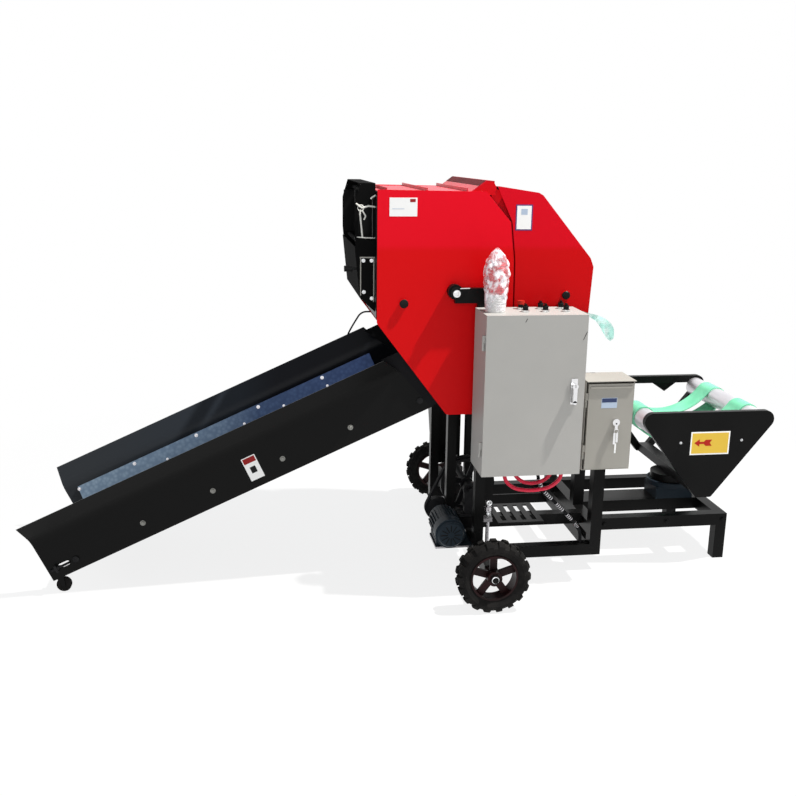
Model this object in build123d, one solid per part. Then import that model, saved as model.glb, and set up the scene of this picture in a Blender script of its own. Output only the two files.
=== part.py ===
from build123d import *
import os
from math import asin, atan2, cos, degrees, radians, sin, tan

os.makedirs("parts", exist_ok=True)

# A small stationary round baler for silage: a two-piece baling chamber on a two-wheeled base, a feed
# conveyor at its mouth, electrical cabinets on its near side and a bale-wrapping table behind it.
# Millimetres. X runs along the machine from the conveyor to the wrapping table, Y runs across it from
# the near side to the far side, and Z is up from the ground. X is zero at the wheel axle while the
# pieces are made; at the end everything is moved so that the origin is the middle of the footprint.

# Clearances
FACE_GAP = 0.3
RUNNING_GAP = 0.05
MOVING_GAP = 6.0

# Road wheels and axle
WHEEL_RADIUS = 150.0
WHEEL_WIDTH = 78.0
WHEEL_Y = 672.0
LUG_HEIGHT = 9.0
LUG_COUNT = 18
LUG_LENGTH = 24.0
RIM_RADIUS = 96.0
RIM_BAND = 8.0
RIM_WIDTH = 62.0
HUB_RADIUS = 30.0
HUB_LENGTH = 74.0
SPOKE_COUNT = 5
SPOKE_WIDTH = 30.0
SPOKE_THICKNESS = 12.0
AXLE_SIZE = 50.0
SPINDLE_RADIUS = 12.5
SPINDLE_END = 24.0

# Base frame
RAIL_SIZE = 50.0
BASE_HALF_WIDTH = 354.0
BASE_FRONT_X = -AXLE_SIZE / 2
BASE_REAR_X = 562.0
UPPER_RAIL_Y = 205.0
POST_SIZE = 40.0
FRONT_POST_X = -90.0
REAR_POST_X = 80.0
TIE_RAIL_Z = 188.0
STAND_TOP_Z = 800.0
CROSS_BAR_Z = 475.0
MID_POST_Y = -80.0
MID_BAR_X = 450.0
MID_BAR_SIZE = 30.0
GRATE_X = (104.0, 309.0)
GRATE_Y = (-323.0, -93.0)
GRATE_THICKNESS = 6.0
GRATE_FLAT = 25.0
GRATE_SLATS = 5

# Baling chamber: a ring of rollers as high as the body, which sets the body's length too
BODY_TOP_Z = 1645.0
BODY_BOTTOM_Z = 732.0
CHAMBER_X = 7.0
CHAMBER_LIFT = 16.5
CHAMBER_CENTRE = (CHAMBER_X, (BODY_TOP_Z + BODY_BOTTOM_Z) / 2 + CHAMBER_LIFT)
ROLLER_RADIUS = 42.0
ROLLER_RING_RADIUS = (BODY_TOP_Z - BODY_BOTTOM_Z) / 2 - 121.5
RING_SCALE = ROLLER_RING_RADIUS / 335.0
ROLLER_SPACE = 50.0
ROLLER_SHAFT_RADIUS = 12.0
FRONT_ROLLER_ARCS = ((85.0, 181.0), (252.0, 276.0))
REAR_ROLLER_ARC = (-52.0, 60.0)
FRONT_BOSS_ANGLE = 181.0
REAR_BOSS_ANGLE = 4.0

# Body: the covers' outline in X and Z, with the seam between its halves at places on the ring
COVER_FACE_Y = 348.0
COVER_THICKNESS = 3.0
WALL_FACE_Y = 324.0
WALL_THICKNESS = 6.0
BODY_LEFT_X = CHAMBER_X - ROLLER_RING_RADIUS - 108.0
BODY_RIGHT_X = CHAMBER_X + ROLLER_RING_RADIUS + 111.0
MOUTH_TOP_Z = BODY_BOTTOM_Z + 388.0
MOUTH_BOTTOM_X = -143.0
CORNER_RADIUS = 18.0
NOTCH_LEFT_X = -3.0
NOTCH_POINT = (CHAMBER_X + 93.0 * RING_SCALE, BODY_TOP_Z - 123.0)
SEAM_KNEE = (CHAMBER_X + 111.0 * RING_SCALE, BODY_TOP_Z - 273.0)
SEAM_BOTTOM_X = CHAMBER_X + 123.0 * RING_SCALE
TAILGATE_CREST = (210.0, BODY_TOP_Z - 8.0)
TAILGATE_SHOULDER = (228.0, BODY_TOP_Z - 18.0)
TAILGATE_BREAK = (BODY_RIGHT_X - 14.0, CHAMBER_CENTRE[1] + 173.0)
TAILGATE_WAIST_Z = CHAMBER_CENTRE[1] + 138.0
TAILGATE_LOW = (BODY_RIGHT_X - 10.0, CHAMBER_CENTRE[1] - 53.0)
TAILGATE_HEEL_X = CHAMBER_X + 173.0 * RING_SCALE
CRADLE_SIZE = 40.0
BOSS_RADIUS = 17.0
BOSS_DEPTH = 6.0

# Tailgate hinge
HINGE_POINT = (38.0, BODY_TOP_Z - 9.0)
HINGE_ROD_RADIUS = 14.0
LUG_THICKNESS = 12.0
SPACER_SIZE = 30.0
SPACER_POINTS = (
    (TAILGATE_CREST[0] - 50.0, BODY_TOP_Z - 65.0),
    (TAILGATE_BREAK[0] - 54.0, TAILGATE_BREAK[1] - 48.0),
    (TAILGATE_LOW[0] - 63.0, TAILGATE_LOW[1] - 32.0),
    (TAILGATE_HEEL_X + 10.0, BODY_BOTTOM_Z + 88.0),
)

# Roof: seams across it and a flashing over the hinge
ROOF_SEAM_COUNT = 3
ROOF_SEAM_MARGINS = (36.0, 65.0)
ROOF_SEAM_HEIGHT = 13.0
FLASHING_X = (-66.0, -5.0, 28.0)
FLASHING_RISE = 39.0
FLASHING_FALL = 3.0

# Twine frame in front of the body
TWINE_FRONT_X = BODY_LEFT_X - 84.0
TWINE_TOP_Z = BODY_TOP_Z + 23.0
TWINE_HALF_WIDTH = 300.0
TWINE_TRAY_TOP_Z = TWINE_TOP_Z - 248.0
TWINE_TRAY_BOTTOM_Z = TWINE_TRAY_TOP_Z - 204.0
TWINE_SHEET = 3.0
HANDLE_ROD_RADIUS = 5.0
HANDLE_POINT = (TWINE_FRONT_X - 40.0, -TWINE_HALF_WIDTH, TWINE_TRAY_TOP_Z - 87.0)

# Large cabinet
CABINET_LEFT_X = -40.0
CABINET_WIDTH = 405.0
CABINET_FRONT_Y = -581.0
CABINET_BACK_Y = -376.0
CABINET_BOTTOM_Z = 535.0
CABINET_HEIGHT = 650.0
CABINET_SHEET = 3.0
DOOR_THICKNESS = 19.0
DOOR_GAP = 1.0
HINGE_OFFSET = 7.0
KNUCKLE_RADIUS = 5.0
KNUCKLE_LENGTH = 30.0
HINGE_PIN_RADIUS = 2.5

# Small cabinet
SMALL_LEFT_X = 400.0
SMALL_WIDTH = 205.0
SMALL_FRONT_Y = -500.0
SMALL_BOTTOM_Z = 522.0
SMALL_HEIGHT = 380.0
SMALL_DOOR_THICKNESS = 12.0
SMALL_DOOR_INSET = 8.0

# Outrigger arm that carries the large cabinet
ARM_LEFT_X = -124.0
ARM_Z = BODY_BOTTOM_Z + 500.0
ARM_HEIGHT = 60.0
ARM_REACH = 120.0
ARM_UPRIGHT_WIDTH = 40.0
ARM_BOSS_RADIUS = 30.0

# Beacon and switches on the large cabinet
BEACON_X = 16.0
BEACON_Y = -480.0
BEACON_BASE_RADIUS = 40.0
BEACON_BASE_HEIGHT = 70.0
BEACON_LENS_RADIUS = 36.0
BEACON_HEIGHT = 190.0
SWITCH_RADIUS = 11.0
SWITCH_HEIGHT = 14.0
SWITCH_COLLAR_RADIUS = 15.0
SWITCH_COLLAR_HEIGHT = 6.0
SWITCH_XS = (134.0, 215.0, 299.0)
SWITCH_YS = (-495.0, -425.0)

# Drive
MOTOR_X = -130.0
MOTOR_Z = 238.0
MOTOR_RADIUS = 64.0
MOTOR_NEAR_Y = -445.0
MOTOR_LENGTH = 205.0
MOTOR_FOOT_HALF = 50.0
SLIDE_PLATE_LEFT_X = MOTOR_X - 55.0
SLIDE_PLATE_Z = 160.0
SLIDE_PLATE_THICKNESS = 8.0
MOTOR_FIN_COUNT = 24
MOTOR_SHAFT_RADIUS = 14.0
PULLEY_Y = -120.0
PULLEY_WIDTH = 36.0
SMALL_PULLEY_RADIUS = 48.0
LARGE_PULLEY_RADIUS = 118.0
PULLEY_BAND = 14.0
PULLEY_SPOKES = 4
COUNTER_X = 0.0
COUNTER_Z = 350.0
COUNTER_RADIUS = 15.0
BEARING_FOOT_HALF = 50.0
BEARING_FOOT_THICKNESS = 16.0
BEARING_POST_HALF = 26.0
BEARING_WIDTH = 32.0
BEARING_WALL = 16.0
BELT_THICKNESS = 9.0
GUARD_DEPTH = 60.0
GUARD_LEFT_X = BODY_LEFT_X + 60.0
GUARD_TOP_Z = MOUTH_TOP_Z + 160.0
GUARD_KNEE_Z = MOUTH_TOP_Z - 20.0
GUARD_HEEL = (MOUTH_BOTTOM_X + 40.0, BODY_BOTTOM_Z + 40.0)
GUARD_FOOT_HALF = 67.0
GUARD_SHOULDER = 100.0
GUARD_FOOT_Z = 290.0

# Conveyor, in its own frame: S runs up the slope from the head shaft, H is square to the slope
CONVEYOR_SHAFT = (-253.0, 792.0)
CONVEYOR_SLOPE = 24.2
CONVEYOR_LOW_S = -1680.0
CONVEYOR_BOTTOM_H = -47.0
UPRIGHT_TOP_H = 122.0
FLARE_TOP_H = 232.0
FLARE_OUT = 58.0
FLARE_BEND_RADIUS = 80.0
FLARE_BEND_ANGLE = 34.0
SIDE_PLATE_Y = 333.0
SIDE_PLATE_THICKNESS = 3.0
HEAD_BOTTOM_S = 42.0
HEAD_TOP_S = 15.0
FLARE_LOW_S = -15.0
FLARE_HIGH_S = -72.0
DRUM_RADIUS = 26.0
DRUM_SHAFT_RADIUS = 12.0
TAKE_UP_SLOT = (-1632.0, -1582.0)
TAKE_UP_HALF_HEIGHT = 10.0
EAR_RADIUS = 26.0
EAR_ROOT = 45.0
TAIL_S = -1555.0
BED_BAR_STEPS = (90.0, 455.0, 955.0, 1455.0)
BELT_SHEET = 4.0
BELT_HALF_WIDTH = 290.0
CLEAT_HEIGHT = 12.0
CLEAT_THICKNESS = 8.0
CLEAT_PITCH = 170.0
SKIRT_TOP_H = 118.0
SKIRT_BOTTOM_H = 50.0
SKIRT_LEAN = 22.0
GEARMOTOR_S = -250.0
GEARMOTOR_RADIUS = 60.0
GEARMOTOR_LENGTH = 150.0

# Conveyor casters
CASTER_S = -1640.0
CASTER_Y = 295.0
CASTER_WHEEL_RADIUS = 30.0
CASTER_WHEEL_WIDTH = 18.0
CASTER_TRAIL = 16.0
CASTER_TOP_Z = 70.0
CASTER_AXLE_RADIUS = 4.0
CASTER_STEM_RADIUS = 8.0
CASTER_TAB_TOP_Z = 126.0
CASTER_TAB_THICKNESS = 8.0

# Wrapping table
TABLE_X = 1019.0
TABLE_CORNER_X = 337.0
TABLE_CORNER_RADIUS = 40.0
TABLE_FOOT_RADIUS = 12.0
TABLE_TOP_Z = 716.0
TABLE_FOOT_Z = 326.0
TABLE_FOOT_HALF = 35.0
TABLE_PLATE_Y = 357.0
TABLE_PLATE_DEPTH = 27.0
TABLE_SHEET = 3.0
TABLE_STRUT = 36.0
TABLE_ROLLER_RADIUS = 45.0
TABLE_ROLLER_X = 246.0
TABLE_ROLLER_Z = 660.0
TABLE_BELT_WIDTH = 112.0
TABLE_BELT_SHEET = 5.0
TABLE_BELT_YS = (-165.0, 150.0)
TABLE_BELT_SAG = 125.0
TABLE_BELT_LOWER_SAG = 95.0
TABLE_GUSSET = ((21.0, -34.0), (165.0, -34.0), (98.0, -85.0))
TABLE_GUSSET_THICKNESS = 4.0
WRAP_RAIL_Y = 260.0
WRAP_RAIL_HEIGHT = 55.0
WRAP_END_X = 1180.0
TURNTABLE_RADIUS = 105.0
TURNTABLE_Z = 296.0

# Leads: a cable that hangs from the chain guard, hoses under the large cabinet and a spring hose
CABLE_RADIUS = 4.0
CABLE_Y = 402.0
CABLE_STEPS = ((10.0, -54.0), (-48.0, -54.0), (-100.0, -138.0), (-130.0, -204.0), (-94.0, -244.0), (-24.0, -232.0))
CABLE_GLAND_HALF = 10.0
CABLE_GLAND_DEPTH = 15.0
CABLE_RETURN = 114.0
CABLE_LAST_RUN = 80.0
HOSE_RADIUS = 8.0
HOSE_ROUTES = (
    (-470.0, ((84.0, 0.0), (84.0, 57.0), (128.0, 95.0), (204.0, 107.0), (280.0, 95.0), (326.0, 57.0), (326.0, 0.0))),
    (-446.0, ((132.0, 0.0), (132.0, 43.0), (166.0, 75.0), (211.0, 83.0), (256.0, 75.0), (290.0, 43.0), (290.0, 0.0))),
)
SPRING_HOSE_RADIUS = 7.0
SPRING_HOSE_POINTS = (
    (240.0, -420.0, CABINET_BOTTOM_Z),
    (240.0, -420.0, CABINET_BOTTOM_Z - 65.0),
    (266.0, -418.0, 410.0),
    (324.0, -408.0, 352.0),
    (380.0, -394.0, 293.0),
    (424.0, -376.0, 245.0),
    (462.0, -BASE_HALF_WIDTH + 9.0, 200.0),
    (474.0, -BASE_HALF_WIDTH + 20.0, 160.0),
    (474.0, -BASE_HALF_WIDTH + 20.0, WHEEL_RADIUS - AXLE_SIZE / 2),
)


def block(x0, x1, y0, y1, z0, z1):
    """A box between two corners."""
    return Pos((x0 + x1) / 2, (y0 + y1) / 2, (z0 + z1) / 2) * Box(x1 - x0, y1 - y0, z1 - z0)


def rod_y(x, z, radius, y0, y1):
    """A round bar across the machine."""
    return Pos(x, (y0 + y1) / 2, z) * Rot(90, 0, 0) * Cylinder(radius, y1 - y0)


def rod_z(x, y, radius, z0, z1):
    """An upright round bar."""
    return Pos(x, y, (z0 + z1) / 2) * Cylinder(radius, z1 - z0)


def rod_x(y, z, radius, x0, x1):
    """A round bar along the machine."""
    return Pos((x0 + x1) / 2, y, z) * Rot(0, 90, 0) * Cylinder(radius, x1 - x0)


def outline(points, y, radii=None):
    """A face in a plane across Y, from X and Z pairs, with its corners rounded where radii are given."""
    corners = [(x, y, z) for x, z in points]
    if radii is None:
        return make_face(Polyline(*corners, close=True))
    return make_face(FilletPolyline(*corners, radius=radii, close=True))


def profile(points, y0, y1, radii=None):
    """A prism between two planes across Y."""
    return extrude(outline(points, y0, radii), amount=y1 - y0, dir=(0, 1, 0))


def both_sides(shape):
    """A shape and its mirror image on the other side of the machine."""
    return [shape, mirror(shape, Plane.XZ)]


def polar(centre, radius, angle):
    """A point in X and Z on a circle."""
    return (centre[0] + radius * cos(radians(angle)), centre[1] + radius * sin(radians(angle)))


def roller_angles(first, last):
    """Even angles along an arc of the roller ring, as many as leave room between the drums."""
    least = 2 * degrees(asin((ROLLER_RADIUS + ROLLER_SPACE / 2) / ROLLER_RING_RADIUS))
    count = int((last - first) / least)
    if count == 0:
        return [first]
    return [first + (last - first) * index / count for index in range(count + 1)]


def bend_radii(points):
    """A bend radius at each inner point: 0.45 of its shorter run over the tangent of half its turn."""
    radii = []
    for before, corner, after in zip(points, points[1:], points[2:]):
        run_in = Vector(*corner) - Vector(*before)
        run_out = Vector(*after) - Vector(*corner)
        turn = radians(run_in.get_angle(run_out))
        radii.append(0.45 * min(run_in.length, run_out.length) / tan(turn / 2))
    return radii


def lead(points, radius):
    """A round lead along straight runs that are joined by bends."""
    radii = bend_radii(points)
    print("bend radii", [round(value, 1) for value in radii])
    route = FilletPolyline(*points, radius=radii)
    start = Plane(origin=points[0], z_dir=Vector(*points[1]) - Vector(*points[0]))
    return sweep(start * Circle(radius), path=route)


nodes = {}

# Road wheels: a rubber tyre on a spoked rim, running on a fixed spindle
axle_z = WHEEL_RADIUS


def tyre_body(radius):
    """A revolved tyre with bevelled shoulders, up to a given radius."""
    half = WHEEL_WIDTH / 2
    section = Polyline(
        (RIM_RADIUS + FACE_GAP, 0, -half + 12),
        (WHEEL_RADIUS - 30, 0, -half),
        (radius - 12, 0, -half + 2),
        (radius, 0, -half + 14),
        (radius, 0, half - 14),
        (radius - 12, 0, half - 2),
        (WHEEL_RADIUS - 30, 0, half),
        (RIM_RADIUS + FACE_GAP, 0, half - 12),
        close=True,
    )
    return revolve(make_face(section), axis=Axis.Z)


def tyre_at(y):
    """A tyre: a carcass with two staggered rows of lugs, one lug standing on the ground."""
    half = WHEEL_WIDTH / 2
    bars = []
    for row, shift in ((-1, 0), (1, 180 / LUG_COUNT)):
        for index in range(LUG_COUNT):
            bar = Pos(WHEEL_RADIUS - 10, 0, row * (half / 2 + 3)) * Box(40, LUG_LENGTH, half - 2)
            bars.append(Rot(0, 0, -90 + shift + 360 * index / LUG_COUNT) * bar)
    lugs = tyre_body(WHEEL_RADIUS) & (Part() + bars)
    return Pos(0, y, axle_z) * Rot(90, 0, 0) * (tyre_body(WHEEL_RADIUS - LUG_HEIGHT) + lugs)


def rim_at(y):
    """A rim: a band, a hub with its bore and five spokes."""
    band = Cylinder(RIM_RADIUS, RIM_WIDTH) - Cylinder(RIM_RADIUS - RIM_BAND, RIM_WIDTH)
    hub = Cylinder(HUB_RADIUS, HUB_LENGTH)
    wheel = band + hub
    reach = RIM_RADIUS - RIM_BAND / 2
    for index in range(SPOKE_COUNT):
        spoke = Pos(reach / 2, 0, 0) * Box(reach, SPOKE_WIDTH, SPOKE_THICKNESS)
        wheel = wheel + Rot(0, 0, 90 + 360 * index / SPOKE_COUNT) * spoke
    wheel = wheel - Cylinder(SPINDLE_RADIUS + RUNNING_GAP, HUB_LENGTH)
    return Pos(0, y, axle_z) * Rot(90, 0, 0) * wheel


for side, sign in (("near", -1), ("far", 1)):
    nodes["tyre_" + side] = tyre_at(sign * WHEEL_Y)
    nodes["rim_" + side] = rim_at(sign * WHEEL_Y)

axle_end = WHEEL_Y - HUB_LENGTH / 2 - 4
axle = block(-AXLE_SIZE / 2, AXLE_SIZE / 2, -axle_end, axle_end, axle_z - AXLE_SIZE / 2, axle_z + AXLE_SIZE / 2)
axle = axle + rod_y(0, axle_z, SPINDLE_RADIUS, -WHEEL_Y - HUB_LENGTH / 2 - SPINDLE_END / 2,
                    WHEEL_Y + HUB_LENGTH / 2 + SPINDLE_END / 2)
cap_inner = WHEEL_Y + HUB_LENGTH / 2 + 1
for cap_centre in (-cap_inner - 4, cap_inner + 4):
    axle = axle + rod_y(0, axle_z, SPINDLE_RADIUS + 6, cap_centre - 4, cap_centre + 4)
nodes["axle_beam"] = axle

# Base frame: low rails under the axle, upper rails over it, posts and the small cabinet's stand
rail_top = axle_z - AXLE_SIZE / 2
rail_low = rail_top - RAIL_SIZE
upper_low = axle_z + AXLE_SIZE / 2
upper_top = upper_low + RAIL_SIZE
stand_left = BASE_REAR_X - RAIL_SIZE
base = block(stand_left, BASE_REAR_X, -BASE_HALF_WIDTH, BASE_HALF_WIDTH, rail_low, rail_top)
for inner in (-BASE_HALF_WIDTH, BASE_HALF_WIDTH - RAIL_SIZE):
    base = base + block(BASE_FRONT_X, BASE_REAR_X, inner, inner + RAIL_SIZE, rail_low, rail_top)
nodes["base_frame"] = base

# Upper rails with the bar that ties them and the step grate on the near one
upper_middle = (upper_low + upper_top) / 2
upper = block(MID_BAR_X - MID_BAR_SIZE / 2, MID_BAR_X + MID_BAR_SIZE / 2, -UPPER_RAIL_Y, UPPER_RAIL_Y,
              upper_middle - MID_BAR_SIZE / 2, upper_middle + MID_BAR_SIZE / 2)
for centre in (-UPPER_RAIL_Y, UPPER_RAIL_Y):
    upper = upper + block(FRONT_POST_X - POST_SIZE / 2, stand_left, centre - RAIL_SIZE / 2, centre + RAIL_SIZE / 2,
                          upper_low, upper_top)
grate_top = upper_top + GRATE_THICKNESS
for low_y in (GRATE_Y[0], GRATE_Y[1] - GRATE_FLAT):
    upper = upper + block(GRATE_X[0], GRATE_X[1], low_y, low_y + GRATE_FLAT, upper_top, grate_top)
slat_pitch = (GRATE_X[1] - GRATE_X[0] - GRATE_FLAT) / (GRATE_SLATS - 1)
for index in range(GRATE_SLATS):
    slat_x = GRATE_X[0] + index * slat_pitch
    upper = upper + block(slat_x, slat_x + GRATE_FLAT, GRATE_Y[0], GRATE_Y[1], upper_top, grate_top)
nodes["upper_rails"] = upper

# Stand at the rear of the base: three posts, a tie rail that the wrapping base joins and a top bar
stand = block(stand_left, BASE_REAR_X, -BASE_HALF_WIDTH, -BASE_HALF_WIDTH + RAIL_SIZE, rail_top, STAND_TOP_Z)
stand = stand + block(stand_left, BASE_REAR_X, BASE_HALF_WIDTH - RAIL_SIZE, BASE_HALF_WIDTH, rail_top, CROSS_BAR_Z)
stand = stand + block(stand_left, BASE_REAR_X, MID_POST_Y - RAIL_SIZE / 2, MID_POST_Y + RAIL_SIZE / 2,
                      rail_top, CROSS_BAR_Z)
stand = stand + block(stand_left, BASE_REAR_X, -BASE_HALF_WIDTH, BASE_HALF_WIDTH,
                      TIE_RAIL_Z - WRAP_RAIL_HEIGHT / 2, TIE_RAIL_Z + WRAP_RAIL_HEIGHT / 2)
stand = stand + block(stand_left, BASE_REAR_X, -BASE_HALF_WIDTH, BASE_HALF_WIDTH,
                      CROSS_BAR_Z, CROSS_BAR_Z + POST_SIZE)
nodes["rear_stand"] = stand

# Posts that carry the body, with the cradle bars that its walls stand on
wall_bottom = BODY_BOTTOM_Z + 3 + CRADLE_SIZE
posts = []
for post_x in (FRONT_POST_X, REAR_POST_X):
    frame = block(post_x - CRADLE_SIZE / 2, post_x + CRADLE_SIZE / 2, -COVER_FACE_Y + COVER_THICKNESS,
                  COVER_FACE_Y - COVER_THICKNESS, wall_bottom - CRADLE_SIZE, wall_bottom)
    for post_y in (-UPPER_RAIL_Y, UPPER_RAIL_Y):
        frame = frame + block(post_x - POST_SIZE / 2, post_x + POST_SIZE / 2, post_y - POST_SIZE / 2,
                              post_y + POST_SIZE / 2, upper_top, wall_bottom - CRADLE_SIZE)
    posts.append(frame)
nodes["body_posts"] = Compound(posts)

# Side covers and inner walls of the fixed half
fixed_outline = [
    (BODY_LEFT_X, BODY_TOP_Z),
    (NOTCH_LEFT_X, BODY_TOP_Z - 5),
    NOTCH_POINT,
    SEAM_KNEE,
    (SEAM_BOTTOM_X, BODY_BOTTOM_Z),
    (MOUTH_BOTTOM_X, BODY_BOTTOM_Z),
    (BODY_LEFT_X, MOUTH_TOP_Z),
]
fixed_radii = [3, 3, 3, 3, 3, CORNER_RADIUS, CORNER_RADIUS]
cover_inner = COVER_FACE_Y - COVER_THICKNESS
fixed_cover = profile(fixed_outline, -COVER_FACE_Y, -cover_inner, fixed_radii)
boss_x, boss_z = polar(CHAMBER_CENTRE, ROLLER_RING_RADIUS, FRONT_BOSS_ANGLE)
near_boss = rod_y(boss_x, boss_z, BOSS_RADIUS, -COVER_FACE_Y - BOSS_DEPTH, -cover_inner)
nodes["side_cover_near"] = fixed_cover + near_boss
nodes["side_cover_far"] = mirror(fixed_cover, Plane.XZ)

wall_inner = WALL_FACE_Y - WALL_THICKNESS
wall_inset = 14.0
front_roller_angles = [angle for arc in FRONT_ROLLER_ARCS for angle in roller_angles(*arc)]
rear_roller_angles = roller_angles(*REAR_ROLLER_ARC)
mouth_run = (MOUTH_BOTTOM_X - BODY_LEFT_X, BODY_BOTTOM_Z - MOUTH_TOP_Z)
mouth_lift = (wall_bottom - BODY_BOTTOM_Z) * mouth_run[0] / mouth_run[1]
wall_outline = [
    (BODY_LEFT_X + wall_inset, BODY_TOP_Z - wall_inset),
    (NOTCH_LEFT_X - wall_inset, BODY_TOP_Z - wall_inset),
    (NOTCH_POINT[0] - wall_inset, NOTCH_POINT[1]),
    (SEAM_KNEE[0] - wall_inset, SEAM_KNEE[1]),
    (SEAM_BOTTOM_X - wall_inset, wall_bottom),
    (MOUTH_BOTTOM_X + mouth_lift + wall_inset, wall_bottom),
    (BODY_LEFT_X + wall_inset, MOUTH_TOP_Z + wall_inset / 2),
]
fixed_wall = profile(wall_outline, -WALL_FACE_Y, -wall_inner)
lug_x = HINGE_POINT[0]
lug_z = HINGE_POINT[1]
lug_outer = -wall_inner + MOVING_GAP
lug = profile([(-140, lug_z - 80), (lug_x, lug_z - 22), (lug_x, lug_z + 4), (-24, lug_z - 12), (-140, lug_z - 40)],
              lug_outer, lug_outer + LUG_THICKNESS)
lug = lug + block(-140, -60, -wall_inner, lug_outer, lug_z - 75, lug_z - 45)
lug = lug + rod_y(lug_x, lug_z, HINGE_ROD_RADIUS + 8, lug_outer, lug_outer + LUG_THICKNESS)
fixed_wall = fixed_wall + lug
mouth_length = (mouth_run[0] ** 2 + mouth_run[1] ** 2) ** 0.5
shaft_run = (CONVEYOR_SHAFT[0] - MOUTH_BOTTOM_X, CONVEYOR_SHAFT[1] - BODY_BOTTOM_Z)
shaft_offset = (shaft_run[0] * mouth_run[1] - shaft_run[1] * mouth_run[0]) / mouth_length
ear_reach = shaft_offset + EAR_ROOT
ear_x = CONVEYOR_SHAFT[0] - ear_reach * mouth_run[1] / mouth_length
ear_z = CONVEYOR_SHAFT[1] + ear_reach * mouth_run[0] / mouth_length
ear_along_x = EAR_RADIUS * mouth_run[0] / mouth_length
ear_along_z = EAR_RADIUS * mouth_run[1] / mouth_length
shaft_ear = profile([(CONVEYOR_SHAFT[0] - ear_along_x, CONVEYOR_SHAFT[1] - ear_along_z),
                     (CONVEYOR_SHAFT[0] + ear_along_x, CONVEYOR_SHAFT[1] + ear_along_z),
                     (ear_x + ear_along_x, ear_z + ear_along_z), (ear_x - ear_along_x, ear_z - ear_along_z)],
                    -WALL_FACE_Y, -wall_inner)
shaft_ear = shaft_ear + rod_y(CONVEYOR_SHAFT[0], CONVEYOR_SHAFT[1], EAR_RADIUS, -WALL_FACE_Y, -wall_inner)
fixed_wall = fixed_wall + shaft_ear
fixed_wall = fixed_wall - rod_y(CONVEYOR_SHAFT[0], CONVEYOR_SHAFT[1], DRUM_SHAFT_RADIUS + RUNNING_GAP,
                                -WALL_FACE_Y, -wall_inner)
for angle in front_roller_angles:
    shaft_x, shaft_z = polar(CHAMBER_CENTRE, ROLLER_RING_RADIUS, angle)
    fixed_wall = fixed_wall - rod_y(shaft_x, shaft_z, ROLLER_SHAFT_RADIUS + RUNNING_GAP, -WALL_FACE_Y, -wall_inner)
fixed_wall = fixed_wall - rod_y(lug_x, lug_z, HINGE_ROD_RADIUS, lug_outer, lug_outer + LUG_THICKNESS)
nodes["chamber_wall_near"], nodes["chamber_wall_far"] = both_sides(fixed_wall)

nodes["tailgate_hinge_rod"] = rod_y(lug_x, lug_z, HINGE_ROD_RADIUS, -WALL_FACE_Y, WALL_FACE_Y)

# Roof of the fixed half, with raised seams across it and a flashing that reaches over the hinge
roof_right = NOTCH_LEFT_X - 12
roof_top = BODY_TOP_Z - 5
roof_low = roof_top - COVER_THICKNESS
roof = block(BODY_LEFT_X + 2, roof_right, -cover_inner, cover_inner, roof_low, roof_top)
first_seam = BODY_LEFT_X + ROOF_SEAM_MARGINS[0]
last_seam = roof_right - ROOF_SEAM_MARGINS[1]
for index in range(ROOF_SEAM_COUNT):
    seam_x = first_seam + (last_seam - first_seam) * index / (ROOF_SEAM_COUNT - 1)
    roof = roof + block(seam_x - 2, seam_x + 2, -cover_inner, cover_inner, roof_top, roof_top + ROOF_SEAM_HEIGHT)
flashing_foot, flashing_ridge, flashing_end = FLASHING_X
flashing_top = BODY_TOP_Z + FLASHING_RISE
flashing = profile([
    (flashing_foot, roof_low),
    (flashing_foot, roof_top),
    (flashing_ridge, flashing_top),
    (flashing_end, flashing_top - FLASHING_FALL),
    (flashing_end, flashing_top - FLASHING_FALL - COVER_THICKNESS),
    (flashing_ridge + 1, flashing_top - COVER_THICKNESS - 0.5),
    (flashing_foot + 5, roof_top),
    (flashing_foot + 5, roof_low),
], -cover_inner, cover_inner)
nodes["roof_panel"] = roof + flashing

# Front wall and the chute under the mouth
nodes["front_wall"] = block(BODY_LEFT_X - TWINE_SHEET, BODY_LEFT_X, -cover_inner, cover_inner,
                            MOUTH_TOP_Z + 20, BODY_TOP_Z - 8)

# Steel chamber rollers with their shafts in the walls


def chamber_roller(angle):
    """One roller: a drum between the walls and a shaft through them."""
    x, z = polar(CHAMBER_CENTRE, ROLLER_RING_RADIUS, angle)
    drum = rod_y(x, z, ROLLER_RADIUS, -wall_inner + MOVING_GAP + LUG_THICKNESS + MOVING_GAP,
                 wall_inner - MOVING_GAP - LUG_THICKNESS - MOVING_GAP)
    return drum + rod_y(x, z, ROLLER_SHAFT_RADIUS, -WALL_FACE_Y - 4, WALL_FACE_Y + 4)


nodes["front_rollers"] = Compound([chamber_roller(angle) for angle in front_roller_angles])
nodes["rear_rollers"] = Compound([chamber_roller(angle) for angle in rear_roller_angles])

# Tailgate: side covers, inner walls and the outer sheet
gate_outline = [
    (HINGE_POINT[0] + 2, HINGE_POINT[1] + 26),
    TAILGATE_CREST,
    TAILGATE_SHOULDER,
    TAILGATE_BREAK,
    (BODY_RIGHT_X, TAILGATE_WAIST_Z),
    TAILGATE_LOW,
    (TAILGATE_HEEL_X, BODY_BOTTOM_Z),
    (SEAM_BOTTOM_X + MOVING_GAP, BODY_BOTTOM_Z),
    (SEAM_KNEE[0] + MOVING_GAP, SEAM_KNEE[1]),
    (NOTCH_POINT[0] + MOVING_GAP, NOTCH_POINT[1]),
]
gate_radii = [3, 12, 12, 12, 12, CORNER_RADIUS, CORNER_RADIUS, 3, 3, 3]
gate_cover = profile(gate_outline, -COVER_FACE_Y, -cover_inner, gate_radii)
boss_x, boss_z = polar(CHAMBER_CENTRE, ROLLER_RING_RADIUS, REAR_BOSS_ANGLE)
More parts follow.
